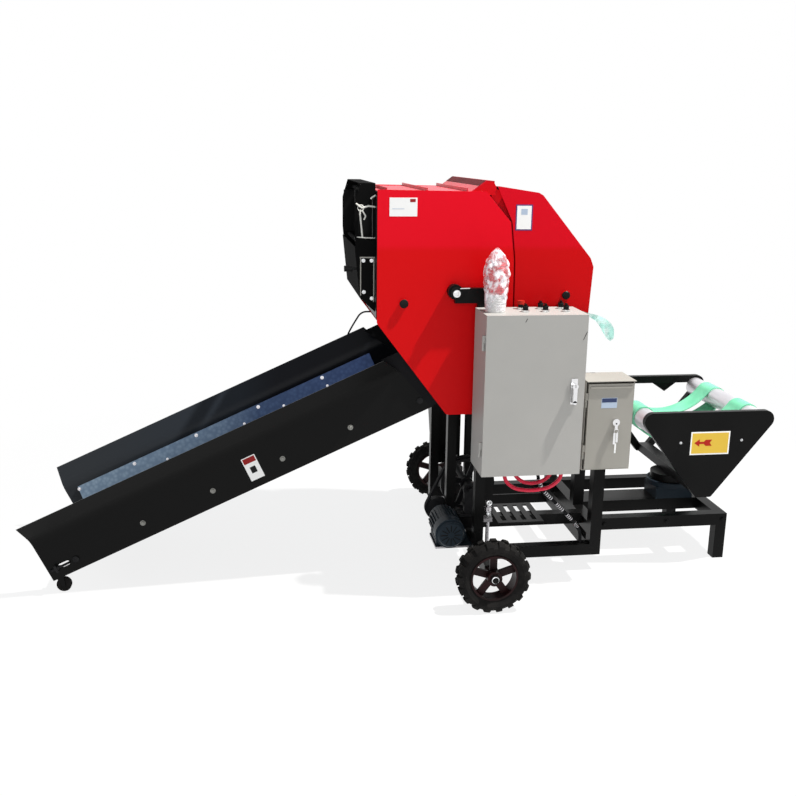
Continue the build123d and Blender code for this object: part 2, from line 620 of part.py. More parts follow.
gate_cover = gate_cover + rod_y(boss_x, boss_z, BOSS_RADIUS, -COVER_FACE_Y - BOSS_DEPTH, -cover_inner)
nodes["tailgate_covers"] = Compound(both_sides(gate_cover))

gate_wall_outline = [
    (HINGE_POINT[0] - 16, HINGE_POINT[1] + 14),
    (TAILGATE_CREST[0] - 4, TAILGATE_CREST[1] - 12),
    (TAILGATE_BREAK[0] - 12, TAILGATE_BREAK[1] - 6),
    (TAILGATE_LOW[0] - 14, TAILGATE_LOW[1] + 4),
    (TAILGATE_HEEL_X - 6, wall_bottom - 26),
    (SEAM_BOTTOM_X + MOVING_GAP, wall_bottom - 26),
    (SEAM_KNEE[0] + MOVING_GAP, SEAM_KNEE[1]),
    (NOTCH_POINT[0] + MOVING_GAP, NOTCH_POINT[1]),
    (HINGE_POINT[0] - 16, HINGE_POINT[1] - 18),
]
gate_wall = profile(gate_wall_outline, -WALL_FACE_Y, -wall_inner)
for angle in rear_roller_angles:
    shaft_x, shaft_z = polar(CHAMBER_CENTRE, ROLLER_RING_RADIUS, angle)
    gate_wall = gate_wall - rod_y(shaft_x, shaft_z, ROLLER_SHAFT_RADIUS + RUNNING_GAP, -WALL_FACE_Y, -wall_inner)
gate_wall = gate_wall - rod_y(lug_x, lug_z, HINGE_ROD_RADIUS + RUNNING_GAP, -WALL_FACE_Y, -wall_inner)
for spacer_x, spacer_z in SPACER_POINTS:
    gate_wall = gate_wall + block(spacer_x - SPACER_SIZE / 2, spacer_x + SPACER_SIZE / 2, -cover_inner,
                                  -wall_inner, spacer_z - SPACER_SIZE / 2, spacer_z + SPACER_SIZE / 2)
nodes["tailgate_walls"] = Compound(both_sides(gate_wall))

sheet_face = outline(gate_outline, -cover_inner, gate_radii)
sheet_solid = extrude(sheet_face, amount=2 * cover_inner, dir=(0, 1, 0))
sheet_core = extrude(offset(sheet_face, amount=-COVER_THICKNESS), amount=2 * cover_inner, dir=(0, 1, 0))
gate_sheet = sheet_solid - sheet_core
sheet_start = HINGE_POINT[0] + 22
above_body = BODY_TOP_Z + 2 * CRADLE_SIZE
below_body = BODY_BOTTOM_Z - 5
gate_sheet = gate_sheet - block(BODY_LEFT_X, sheet_start, -cover_inner, cover_inner, below_body, above_body)
front_cut = profile([(NOTCH_LEFT_X, above_body), (sheet_start, above_body),
                     (NOTCH_POINT[0] + MOVING_GAP + 30, NOTCH_POINT[1]),
                     (SEAM_BOTTOM_X + MOVING_GAP + 14, below_body), (NOTCH_LEFT_X, below_body)],
                    -cover_inner, cover_inner)
nodes["tailgate_sheet"] = gate_sheet - front_cut

# Chain guard on the far side, over the roller drive
guard_outline = [
    (GUARD_LEFT_X, GUARD_TOP_Z),
    (NOTCH_LEFT_X + 20, GUARD_TOP_Z),
    (COUNTER_X + GUARD_FOOT_HALF, GUARD_TOP_Z - GUARD_SHOULDER),
    (COUNTER_X + GUARD_FOOT_HALF, GUARD_FOOT_Z),
    (COUNTER_X - GUARD_FOOT_HALF, GUARD_FOOT_Z),
    GUARD_HEEL,
    (GUARD_LEFT_X, GUARD_KNEE_Z),
]
guard_face = COVER_FACE_Y + GUARD_DEPTH
edge_run = (GUARD_HEEL[0] - GUARD_LEFT_X, GUARD_HEEL[1] - GUARD_KNEE_Z)
edge_length = (edge_run[0] ** 2 + edge_run[1] ** 2) ** 0.5
gland_x = GUARD_LEFT_X + CABLE_STEPS[0][0]
gland_z = GUARD_KNEE_Z + CABLE_STEPS[0][1]
gland_root = GUARD_LEFT_X + (gland_z - CABLE_GLAND_HALF - GUARD_KNEE_Z) * edge_run[0] / edge_run[1]
guard = profile(guard_outline, COVER_FACE_Y, guard_face, 14)
guard = guard + block(gland_x, gland_root + 2, guard_face - CABLE_GLAND_DEPTH, guard_face,
                      gland_z - CABLE_GLAND_HALF, gland_z + CABLE_GLAND_HALF)
nodes["chain_guard"] = guard

# The cable that hangs in a loop from the guard's gland back to its slanted edge, square to that edge
return_x = GUARD_LEFT_X + CABLE_RETURN
return_z = GUARD_KNEE_Z + CABLE_RETURN * edge_run[1] / edge_run[0]
approach_x = return_x + CABLE_LAST_RUN * edge_run[1] / edge_length
approach_z = return_z - CABLE_LAST_RUN * edge_run[0] / edge_length
cable_route = [(GUARD_LEFT_X + x, CABLE_Y, GUARD_KNEE_Z + z) for x, z in CABLE_STEPS]
cable_route = cable_route + [(approach_x, CABLE_Y, approach_z), (return_x, CABLE_Y, return_z)]
nodes["hanging_cable"] = lead(cable_route, CABLE_RADIUS)

# Twine frame: two end plates, a hood, a lower tray and cross bars
twine_plate_outline = [
    (BODY_LEFT_X - TWINE_SHEET, TWINE_TOP_Z),
    (TWINE_FRONT_X + 23, TWINE_TOP_Z),
    (TWINE_FRONT_X, TWINE_TOP_Z - 77),
    (TWINE_FRONT_X, TWINE_TRAY_TOP_Z + 40),
    (TWINE_FRONT_X + 20, TWINE_TRAY_BOTTOM_Z),
    (BODY_LEFT_X - TWINE_SHEET, TWINE_TRAY_BOTTOM_Z - 57),
]
window_outline = [
    (BODY_LEFT_X - 14, TWINE_TOP_Z - 60),
    (TWINE_FRONT_X + 14, TWINE_TOP_Z - 84),
    (TWINE_FRONT_X + 14, TWINE_TRAY_TOP_Z + 36),
    (BODY_LEFT_X - 14, TWINE_TRAY_TOP_Z + 24),
]
end_plate = profile(twine_plate_outline, -TWINE_HALF_WIDTH, -TWINE_HALF_WIDTH + TWINE_SHEET)
end_plate = end_plate - profile(window_outline, -TWINE_HALF_WIDTH, -TWINE_HALF_WIDTH + TWINE_SHEET)
twine = end_plate + mirror(end_plate, Plane.XZ)
span = TWINE_HALF_WIDTH - TWINE_SHEET / 2
twine = twine + block(TWINE_FRONT_X + 23, BODY_LEFT_X - TWINE_SHEET, -span, span, TWINE_TOP_Z - TWINE_SHEET, TWINE_TOP_Z)
twine = twine + profile([(TWINE_FRONT_X, TWINE_TRAY_TOP_Z), (TWINE_FRONT_X + TWINE_SHEET, TWINE_TRAY_TOP_Z),
                         (TWINE_FRONT_X + 20 + TWINE_SHEET, TWINE_TRAY_BOTTOM_Z),
                         (TWINE_FRONT_X + 20, TWINE_TRAY_BOTTOM_Z)], -span, span)
twine = twine + rod_y(TWINE_FRONT_X + 50, TWINE_TOP_Z - 32, 9, -span, span)
twine = twine + rod_y(TWINE_FRONT_X + 30, TWINE_TRAY_TOP_Z + 6, 9, -span, span)
nodes["twine_frame"] = twine

handle_x, handle_y, handle_z = HANDLE_POINT
tray_slope = 20 / (TWINE_TRAY_TOP_Z - TWINE_TRAY_BOTTOM_Z)
handle_seat_x = TWINE_FRONT_X + tray_slope * (TWINE_TRAY_TOP_Z - handle_z - HANDLE_ROD_RADIUS) - FACE_GAP
handle = rod_x(handle_y + 12, handle_z, HANDLE_ROD_RADIUS, handle_x, handle_seat_x)
handle = handle + rod_x(handle_y + 12, handle_z, 12, handle_x - 2, handle_x + 30)
nodes["twine_handle"] = handle

# Outrigger arm: a boss on the cover, an arm past the cabinet's back and an upright behind it
arm_depth = -CABINET_BACK_Y - COVER_FACE_Y
arm = block(ARM_LEFT_X, CABINET_LEFT_X + ARM_REACH, -COVER_FACE_Y - arm_depth, -COVER_FACE_Y,
            ARM_Z - ARM_HEIGHT / 2, ARM_Z + ARM_HEIGHT / 2)
arm = arm + rod_y(ARM_LEFT_X, ARM_Z + 16, ARM_BOSS_RADIUS, -COVER_FACE_Y - arm_depth - 6, -COVER_FACE_Y)
arm = arm + block(CABINET_LEFT_X + 10, CABINET_LEFT_X + 10 + ARM_UPRIGHT_WIDTH, CABINET_BACK_Y, -COVER_FACE_Y,
                  CABINET_BOTTOM_Z, ARM_Z - ARM_HEIGHT / 2)
nodes["outrigger_arm"] = arm

# Large cabinet: a box open at its front, and a pan door on two hinges at its left edge
cabinet_right = CABINET_LEFT_X + CABINET_WIDTH
cabinet_top = CABINET_BOTTOM_Z + CABINET_HEIGHT
seam_y = CABINET_FRONT_Y + DOOR_THICKNESS


def hollow_box(x0, x1, y0, y1, z0, z1, sheet):
    """A box of sheet, open towards the near side."""
    return block(x0, x1, y0, y1, z0, z1) - block(x0 + sheet, x1 - sheet, y0, y1 - sheet, z0 + sheet, z1 - sheet)


def hinge_barrel(x, y, z, length, leaf_x):
    """A fixed hinge knuckle with its leaf."""
    return rod_z(x, y, KNUCKLE_RADIUS, z, z + length) + block(x, leaf_x, y, y + 3, z, z + length)


cabinet = hollow_box(CABINET_LEFT_X, cabinet_right, seam_y + DOOR_GAP, CABINET_BACK_Y,
                     CABINET_BOTTOM_Z, cabinet_top, CABINET_SHEET)
door = block(CABINET_LEFT_X, cabinet_right, CABINET_FRONT_Y, seam_y, CABINET_BOTTOM_Z, cabinet_top)
door = door - block(CABINET_LEFT_X + CABINET_SHEET, cabinet_right - CABINET_SHEET, CABINET_FRONT_Y + CABINET_SHEET,
                    seam_y, CABINET_BOTTOM_Z + CABINET_SHEET, cabinet_top - CABINET_SHEET)
cabinet_hinge_x = CABINET_LEFT_X - HINGE_OFFSET
cabinet_hinge_y = seam_y
for low in (CABINET_BOTTOM_Z + 80, cabinet_top - 80 - 2 * KNUCKLE_LENGTH):
    cabinet = cabinet + hinge_barrel(cabinet_hinge_x, cabinet_hinge_y, low, KNUCKLE_LENGTH, CABINET_LEFT_X)
    cabinet = cabinet + block(CABINET_LEFT_X - 2, CABINET_LEFT_X, cabinet_hinge_y, seam_y + 20, low, low + KNUCKLE_LENGTH)
    cabinet = cabinet + rod_z(cabinet_hinge_x, cabinet_hinge_y, HINGE_PIN_RADIUS, low, low + 2 * KNUCKLE_LENGTH)
    top = low + KNUCKLE_LENGTH + FACE_GAP
    knuckle = rod_z(cabinet_hinge_x, cabinet_hinge_y, KNUCKLE_RADIUS, top, low + 2 * KNUCKLE_LENGTH)
    knuckle = knuckle + block(cabinet_hinge_x, CABINET_LEFT_X + 1, cabinet_hinge_y - 5, cabinet_hinge_y - 2, top,
                              low + 2 * KNUCKLE_LENGTH)
    knuckle = knuckle - rod_z(cabinet_hinge_x, cabinet_hinge_y, HINGE_PIN_RADIUS + RUNNING_GAP, top,
                              low + 2 * KNUCKLE_LENGTH)
    door = door + knuckle
lock_x = cabinet_right - 44
lock_z = CABINET_BOTTOM_Z + 0.53 * CABINET_HEIGHT
door = door + block(lock_x - 11, lock_x + 11, CABINET_FRONT_Y - 3, CABINET_FRONT_Y, lock_z - 50, lock_z + 50)
door = door + block(lock_x - 7, lock_x + 7, CABINET_FRONT_Y - 16, CABINET_FRONT_Y - 3, lock_z - 44, lock_z + 20)
nodes["control_cabinet"] = cabinet
nodes["cabinet_door"] = door

switches = []
for switch_x in SWITCH_XS:
    for switch_y in SWITCH_YS:
        collar = rod_z(switch_x, switch_y, SWITCH_COLLAR_RADIUS, cabinet_top, cabinet_top + SWITCH_COLLAR_HEIGHT)
        button = rod_z(switch_x, switch_y, SWITCH_RADIUS, cabinet_top, cabinet_top + SWITCH_COLLAR_HEIGHT + SWITCH_HEIGHT)
        switches.append(collar + button)
nodes["cabinet_switches"] = Compound(switches)

beacon = rod_z(BEACON_X, BEACON_Y, BEACON_BASE_RADIUS, cabinet_top, cabinet_top + BEACON_BASE_HEIGHT)
beacon = beacon + rod_z(BEACON_X, BEACON_Y, BEACON_LENS_RADIUS, cabinet_top, cabinet_top + BEACON_HEIGHT)
nodes["beacon"] = beacon

# Small cabinet on the rear stand
small_right = SMALL_LEFT_X + SMALL_WIDTH
small_top = SMALL_BOTTOM_Z + SMALL_HEIGHT
small_cabinet = hollow_box(SMALL_LEFT_X, small_right, SMALL_FRONT_Y, -BASE_HALF_WIDTH, SMALL_BOTTOM_Z, small_top,
                           CABINET_SHEET)
small_door_left = SMALL_LEFT_X + SMALL_DOOR_INSET
small_door_right = small_right - SMALL_DOOR_INSET
small_seam_y = SMALL_FRONT_Y - DOOR_GAP
small_cabinet = small_cabinet + block(SMALL_LEFT_X, small_right, SMALL_FRONT_Y - SMALL_DOOR_THICKNESS - 6,
                                      SMALL_FRONT_Y + 10, small_top - CABINET_SHEET, small_top)
small_door = block(small_door_left, small_door_right, small_seam_y - SMALL_DOOR_THICKNESS, small_seam_y,
                   SMALL_BOTTOM_Z + SMALL_DOOR_INSET, small_top - SMALL_DOOR_INSET - 4)
small_door = small_door - block(small_door_left + CABINET_SHEET, small_door_right - CABINET_SHEET,
                                small_seam_y - SMALL_DOOR_THICKNESS + CABINET_SHEET, small_seam_y,
                                SMALL_BOTTOM_Z + SMALL_DOOR_INSET + CABINET_SHEET,
                                small_top - SMALL_DOOR_INSET - 4 - CABINET_SHEET)
small_hinge_x = small_door_left - HINGE_OFFSET
small_hinge_y = small_seam_y - 4
for low in (SMALL_BOTTOM_Z + 50, small_top - 50 - 2 * KNUCKLE_LENGTH):
    small_cabinet = small_cabinet + rod_z(small_hinge_x, small_hinge_y, KNUCKLE_RADIUS, low, low + KNUCKLE_LENGTH)
    small_cabinet = small_cabinet + block(small_hinge_x - 1, small_hinge_x + 3, small_hinge_y, SMALL_FRONT_Y + 10, low,
                                          low + KNUCKLE_LENGTH)
    small_cabinet = small_cabinet + rod_z(small_hinge_x, small_hinge_y, HINGE_PIN_RADIUS, low, low + 2 * KNUCKLE_LENGTH)
    top = low + KNUCKLE_LENGTH + FACE_GAP
    knuckle = rod_z(small_hinge_x, small_hinge_y, KNUCKLE_RADIUS, top, low + 2 * KNUCKLE_LENGTH)
    knuckle = knuckle + block(small_hinge_x, small_door_left + 1, small_hinge_y - 5, small_hinge_y - 2, top,
                              low + 2 * KNUCKLE_LENGTH)
    knuckle = knuckle - rod_z(small_hinge_x, small_hinge_y, HINGE_PIN_RADIUS + RUNNING_GAP, top,
                              low + 2 * KNUCKLE_LENGTH)
    small_door = small_door + knuckle
small_lock_x = SMALL_LEFT_X + 0.62 * SMALL_WIDTH
small_lock_z = SMALL_BOTTOM_Z + 0.55 * SMALL_HEIGHT
small_door_face = small_seam_y - SMALL_DOOR_THICKNESS
small_door = small_door + rod_y(small_lock_x, small_lock_z, 12, small_door_face - 8, small_door_face)
small_door = small_door + block(small_lock_x - 5, small_lock_x + 5, small_door_face - 14, small_door_face - 8,
                                small_lock_z - 26, small_lock_z + 8)
nodes["small_cabinet"] = small_cabinet
nodes["small_cabinet_door"] = small_door

# Leg under the large cabinet, with a levelling screw beside it
leg_x = CABINET_LEFT_X + 20
leg_y = -460.0
nodes["cabinet_leg"] = block(leg_x - 20, leg_x + 20, leg_y - 20, leg_y + 20, upper_low, CABINET_BOTTOM_Z)
screw_x = leg_x + 20 + 22
screw_top = upper_low + 205
bracket_low = upper_low + 125
screw = block(leg_x + 20, screw_x + 16, leg_y - 16, leg_y + 16, bracket_low, bracket_low + 16)
screw = screw + rod_z(screw_x, leg_y, 8, upper_low, screw_top)
screw = screw + rod_z(screw_x, leg_y, 15, screw_top - 35, screw_top - 18)
nodes["levelling_screw"] = screw

# Hoses that hang under the large cabinet and a spring hose from it down to the near rail
hoses = []
for hose_y, route in HOSE_ROUTES:
    hoses.append(lead([(x, hose_y, CABINET_BOTTOM_Z - drop) for x, drop in route], HOSE_RADIUS))
nodes["cabinet_hoses"] = Compound(hoses)
nodes["spring_hose"] = lead(list(SPRING_HOSE_POINTS), SPRING_HOSE_RADIUS)

# Drive motor on a slide plate before the axle, its V-belt and the countershaft on the upper rails
motor_far_y = MOTOR_NEAR_Y + MOTOR_LENGTH
motor = rod_y(MOTOR_X, MOTOR_Z, MOTOR_RADIUS - 8, MOTOR_NEAR_Y, motor_far_y)
motor = motor + rod_y(MOTOR_X, MOTOR_Z, MOTOR_RADIUS, MOTOR_NEAR_Y + 8, MOTOR_NEAR_Y + 60)
for index in range(MOTOR_FIN_COUNT):
    fin = block(MOTOR_RADIUS - 12, MOTOR_RADIUS, MOTOR_NEAR_Y + 60, motor_far_y - 20, -2, 2)
    motor = motor + Pos(MOTOR_X, 0, MOTOR_Z) * Rot(0, 360 * index / MOTOR_FIN_COUNT, 0) * fin
plate_top = SLIDE_PLATE_Z + SLIDE_PLATE_THICKNESS
foot_near_y = MOTOR_NEAR_Y + 60
foot_far_y = motor_far_y - 10
motor = motor + block(MOTOR_X - MOTOR_FOOT_HALF, MOTOR_X + MOTOR_FOOT_HALF, foot_near_y, foot_far_y, plate_top,
                      MOTOR_Z - MOTOR_RADIUS + 14)
motor = motor + block(SLIDE_PLATE_LEFT_X, -AXLE_SIZE / 2, foot_near_y - 20, foot_far_y, SLIDE_PLATE_Z, plate_top)
motor = motor + rod_y(MOTOR_X, MOTOR_Z, MOTOR_SHAFT_RADIUS, motor_far_y, PULLEY_Y - PULLEY_WIDTH / 2)
nodes["drive_motor"] = motor


def pulley(radius, x, z, spokes):
    """A belt pulley: solid, or a band with spokes."""
    low = PULLEY_Y - PULLEY_WIDTH / 2
    high = PULLEY_Y + PULLEY_WIDTH / 2
    wheel = rod_y(x, z, radius, low, high)
    if spokes == 0:
        return wheel
    wheel = wheel - rod_y(x, z, radius - PULLEY_BAND, low, high)
    wheel = wheel + rod_y(x, z, 2 * COUNTER_RADIUS, low, high)
    for index in range(spokes):
        spoke = block(0, radius - PULLEY_BAND / 2, PULLEY_Y - 6, PULLEY_Y + 6, -11, 11)
        wheel = wheel + Pos(x, 0, z) * Rot(0, 20 + 360 * index / spokes, 0) * spoke
    return wheel


nodes["motor_pulley"] = pulley(SMALL_PULLEY_RADIUS, MOTOR_X, MOTOR_Z, 0)
countershaft = pulley(LARGE_PULLEY_RADIUS, COUNTER_X, COUNTER_Z, PULLEY_SPOKES)
nodes["countershaft"] = countershaft + rod_y(COUNTER_X, COUNTER_Z, COUNTER_RADIUS, -UPPER_RAIL_Y - 40, COVER_FACE_Y)
bearings = []
for bearing_y in (-UPPER_RAIL_Y, UPPER_RAIL_Y):
    near_face = bearing_y - BEARING_WIDTH / 2
    far_face = bearing_y + BEARING_WIDTH / 2
    housing = block(COUNTER_X - BEARING_FOOT_HALF, COUNTER_X + BEARING_FOOT_HALF, near_face - 4, far_face + 4,
                    upper_top, upper_top + BEARING_FOOT_THICKNESS)
    housing = housing + block(COUNTER_X - BEARING_POST_HALF, COUNTER_X + BEARING_POST_HALF, near_face, far_face,
                              upper_top, COUNTER_Z)
    housing = housing + rod_y(COUNTER_X, COUNTER_Z, COUNTER_RADIUS + BEARING_WALL, near_face, far_face)
    bearings.append(housing - rod_y(COUNTER_X, COUNTER_Z, COUNTER_RADIUS + RUNNING_GAP, near_face, far_face))
nodes["shaft_bearings"] = Compound(bearings)


def belt_loop(extra):
    """The area inside a belt that runs tight around both pulleys."""
    small = Pos(MOTOR_X, MOTOR_Z) * Circle(SMALL_PULLEY_RADIUS + extra)
    large = Pos(COUNTER_X, COUNTER_Z) * Circle(LARGE_PULLEY_RADIUS + extra)
    return make_hull(small.edges() + large.edges())


belt_band = extrude(belt_loop(FACE_GAP + BELT_THICKNESS), amount=PULLEY_WIDTH - 10)
belt_band = belt_band - extrude(belt_loop(FACE_GAP), amount=PULLEY_WIDTH - 10)
nodes["drive_belt"] = Pos(0, PULLEY_Y + PULLEY_WIDTH / 2 - 5, 0) * Rot(90, 0, 0) * belt_band

# Wrapping base: rails behind the stand, an end rail, two legs and a wide middle beam
wrap_low = TIE_RAIL_Z - WRAP_RAIL_HEIGHT / 2
wrap_top = TIE_RAIL_Z + WRAP_RAIL_HEIGHT / 2
wrap = block(WRAP_END_X - RAIL_SIZE, WRAP_END_X, -WRAP_RAIL_Y - RAIL_SIZE / 2, WRAP_RAIL_Y + RAIL_SIZE / 2,
             wrap_low, wrap_top)
for rail_y in (-WRAP_RAIL_Y, WRAP_RAIL_Y):
    wrap = wrap + block(BASE_REAR_X, WRAP_END_X, rail_y - RAIL_SIZE / 2, rail_y + RAIL_SIZE / 2, wrap_low, wrap_top)
    wrap = wrap + block(WRAP_END_X - RAIL_SIZE, WRAP_END_X, rail_y - RAIL_SIZE / 2, rail_y + RAIL_SIZE / 2,
                        0, wrap_low)
wrap = wrap + block(BASE_REAR_X, WRAP_END_X, -70, 70, wrap_low, wrap_top)
nodes["wrapping_base"] = wrap

drive = block(TABLE_X - 90, TABLE_X + 90, -70, 70, wrap_top, TURNTABLE_Z - 24)
drive = drive + rod_z(TABLE_X, 0, TURNTABLE_RADIUS, TURNTABLE_Z - 24, TURNTABLE_Z - FACE_GAP)
nodes["turntable_drive"] = drive

# Wrapping table: a near cover plate, an open far frame, a cross beam, rollers and belts
table_outline = [
    (TABLE_X - TABLE_CORNER_X, TABLE_TOP_Z),
    (TABLE_X + TABLE_CORNER_X, TABLE_TOP_Z),
    (TABLE_X + TABLE_FOOT_HALF, TABLE_FOOT_Z),
    (TABLE_X - TABLE_FOOT_HALF, TABLE_FOOT_Z),
]
table_radii = [TABLE_CORNER_RADIUS, TABLE_CORNER_RADIUS, TABLE_FOOT_RADIUS, TABLE_FOOT_RADIUS]
plate_back = -TABLE_PLATE_Y + TABLE_PLATE_DEPTH
table_face = outline(table_outline, -TABLE_PLATE_Y, table_radii)
cover = extrude(table_face, amount=TABLE_PLATE_DEPTH, dir=(0, 1, 0))
pocket = extrude(offset(outline(table_outline, -TABLE_PLATE_Y + TABLE_SHEET, table_radii), amount=-TABLE_SHEET),
                 amount=TABLE_PLATE_DEPTH, dir=(0, 1, 0))
nodes["table_cover"] = cover - pocket

far_inner = TABLE_PLATE_Y - TABLE_PLATE_DEPTH
far_face = outline(table_outline, far_inner, table_radii)
far_frame = extrude(far_face, amount=TABLE_PLATE_DEPTH, dir=(0, 1, 0))
far_frame = far_frame - extrude(offset(far_face, amount=-TABLE_STRUT), amount=TABLE_PLATE_DEPTH, dir=(0, 1, 0))
beam = block(TABLE_X - 30, TABLE_X + 30, -TABLE_PLATE_Y + TABLE_SHEET, far_inner, TABLE_FOOT_Z + 4, TABLE_FOOT_Z + 44)
hub = rod_z(TABLE_X, 0, TURNTABLE_RADIUS - 15, TURNTABLE_Z, TABLE_FOOT_Z + 4)
gusset = profile([(TABLE_X + x, TABLE_TOP_Z + z) for x, z in TABLE_GUSSET],
                 TABLE_PLATE_Y - TABLE_GUSSET_THICKNESS, TABLE_PLATE_Y)
nodes["table_frame"] = far_frame + beam + hub + gusset

table_rollers = []
for roller_x in (TABLE_X - TABLE_ROLLER_X, TABLE_X + TABLE_ROLLER_X):
    roller = rod_y(roller_x, TABLE_ROLLER_Z, TABLE_ROLLER_RADIUS, plate_back + 3, far_inner - 3)
    roller = roller + rod_y(roller_x, TABLE_ROLLER_Z, 12, -TABLE_PLATE_Y + TABLE_SHEET, far_inner)
    table_rollers.append(roller)
nodes["table_rollers"] = Compound(table_rollers)


def slack_arc(sag):
    """Height of the centre of a slack run's arc over the rollers, and its distance from a roller's axis."""
    rise = (TABLE_ROLLER_X**2 - sag**2) / (2 * sag)
    return rise, (TABLE_ROLLER_X**2 + rise**2) ** 0.5


def belt_face(radius, y):
    """The area inside a slack belt: arcs round the rollers, joined by hanging runs that touch them."""
    rise, reach = slack_arc(TABLE_BELT_SAG)
    lower_rise, lower_reach = slack_arc(TABLE_BELT_LOWER_SAG)
    upper_x = TABLE_ROLLER_X * (1 - radius / reach)
    upper_z = TABLE_ROLLER_Z + radius * rise / reach
    lower_x = TABLE_ROLLER_X * (1 + radius / lower_reach)
    lower_z = TABLE_ROLLER_Z - radius * lower_rise / lower_reach
    middle = (atan2(rise, -TABLE_ROLLER_X) + atan2(-lower_rise, TABLE_ROLLER_X)) / 2
    side_x = TABLE_ROLLER_X + radius * cos(middle)
    side_z = TABLE_ROLLER_Z + radius * sin(middle)
    top_middle = (TABLE_X, y, TABLE_ROLLER_Z + rise - (reach - radius))
    low_middle = (TABLE_X, y, TABLE_ROLLER_Z + lower_rise - (lower_reach + radius))
    loop = [
        ThreePointArc((TABLE_X - upper_x, y, upper_z), top_middle, (TABLE_X + upper_x, y, upper_z)),
        ThreePointArc((TABLE_X + upper_x, y, upper_z), (TABLE_X + side_x, y, side_z), (TABLE_X + lower_x, y, lower_z)),
        ThreePointArc((TABLE_X + lower_x, y, lower_z), low_middle, (TABLE_X - lower_x, y, lower_z)),
        ThreePointArc((TABLE_X - lower_x, y, lower_z), (TABLE_X - side_x, y, side_z), (TABLE_X - upper_x, y, upper_z)),
    ]
    return make_face(loop)


table_belts = []
belt_inner = TABLE_ROLLER_RADIUS + FACE_GAP
for belt_y in TABLE_BELT_YS:
    low_y = belt_y - TABLE_BELT_WIDTH / 2
    outer = extrude(belt_face(belt_inner + TABLE_BELT_SHEET, low_y), amount=TABLE_BELT_WIDTH, dir=(0, 1, 0))
    inner = extrude(belt_face(belt_inner, low_y), amount=TABLE_BELT_WIDTH, dir=(0, 1, 0))
    table_belts.append(outer - inner)
nodes["table_belts"] = Compound(table_belts)

# Conveyor, made level about its head shaft and then laid on its slope
conveyor_place = Pos(CONVEYOR_SHAFT[0], 0, CONVEYOR_SHAFT[1]) * Rot(0, -CONVEYOR_SLOPE, 0)
plate_outer = -SIDE_PLATE_Y
plate_inner = plate_outer + SIDE_PLATE_THICKNESS
upright = profile([(CONVEYOR_LOW_S, CONVEYOR_BOTTOM_H), (HEAD_BOTTOM_S, CONVEYOR_BOTTOM_H),
                   (HEAD_TOP_S, UPRIGHT_TOP_H), (CONVEYOR_LOW_S, UPRIGHT_TOP_H)], plate_outer, plate_inner)


def bend_point(face_y, angle):
    """A point on the bend between a side plate and its flare, on the face that starts at face_y."""
    out = FLARE_BEND_RADIUS * (1 - cos(radians(angle)))
    return (0, face_y - out, UPRIGHT_TOP_H + FLARE_BEND_RADIUS * sin(radians(angle)))


inner_bend = [bend_point(plate_inner, angle) for angle in (0, FLARE_BEND_ANGLE / 2, FLARE_BEND_ANGLE)]
outer_bend = [bend_point(plate_outer, angle) for angle in (FLARE_BEND_ANGLE, FLARE_BEND_ANGLE / 2, 0)]
flare_section = [
    Polyline(outer_bend[2], (0, plate_outer, UPRIGHT_TOP_H - 4), (0, plate_inner, UPRIGHT_TOP_H - 4), inner_bend[0]),
    ThreePointArc(*inner_bend),
    Polyline(inner_bend[2], (0, plate_inner - FLARE_OUT, FLARE_TOP_H), (0, plate_outer - FLARE_OUT, FLARE_TOP_H),
             outer_bend[0]),
    ThreePointArc(*outer_bend),
]
flare = Pos(CONVEYOR_LOW_S, 0, 0) * extrude(make_face(flare_section), amount=FLARE_LOW_S - CONVEYOR_LOW_S,
                                            dir=(1, 0, 0))
flare_end = profile([(FLARE_LOW_S, UPRIGHT_TOP_H), (FLARE_LOW_S + 100, UPRIGHT_TOP_H),
                     (FLARE_LOW_S + 100, FLARE_TOP_H + 10), (FLARE_HIGH_S, FLARE_TOP_H + 10),
                     (FLARE_HIGH_S, FLARE_TOP_H)], plate_outer - FLARE_OUT - 5, plate_inner + 5)
side_plate = upright + (flare - flare_end)
side_plate = side_plate - rod_y(0, 0, DRUM_SHAFT_RADIUS + RUNNING_GAP, plate_outer, plate_inner)
side_plate = side_plate - rod_y(TAIL_S, 0, DRUM_SHAFT_RADIUS + RUNNING_GAP, plate_outer, plate_inner)
slot_low = TAKE_UP_SLOT[0] + TAKE_UP_HALF_HEIGHT
slot_high = TAKE_UP_SLOT[1] - TAKE_UP_HALF_HEIGHT
slot = block(slot_low, slot_high, plate_outer, plate_inner, -TAKE_UP_HALF_HEIGHT, TAKE_UP_HALF_HEIGHT)
slot = slot + rod_y(slot_low, 0, TAKE_UP_HALF_HEIGHT, plate_outer, plate_inner)
slot = slot + rod_y(slot_high, 0, TAKE_UP_HALF_HEIGHT, plate_outer, plate_inner)
side_plate = side_plate - slot
conveyor = {"conveyor_sides": Compound(both_sides(side_plate))}

deck_top = DRUM_RADIUS - 2
bed = block(TAIL_S + 60, -60, plate_inner, -plate_inner, deck_top - 3, deck_top)
for bar_step in BED_BAR_STEPS:
    bar_s = TAIL_S + bar_step
    bed = bed + block(bar_s - 18, bar_s + 18, plate_inner, -plate_inner, -12, deck_top - 3)
conveyor["conveyor_bed"] = bed


def stadium(radius, y0, y1):
    """The loop around both drums at a given radius."""
    body = block(TAIL_S, 0, y0, y1, -radius, radius)
    return body + rod_y(0, 0, radius, y0, y1) + rod_y(TAIL_S, 0, radius, y0, y1)


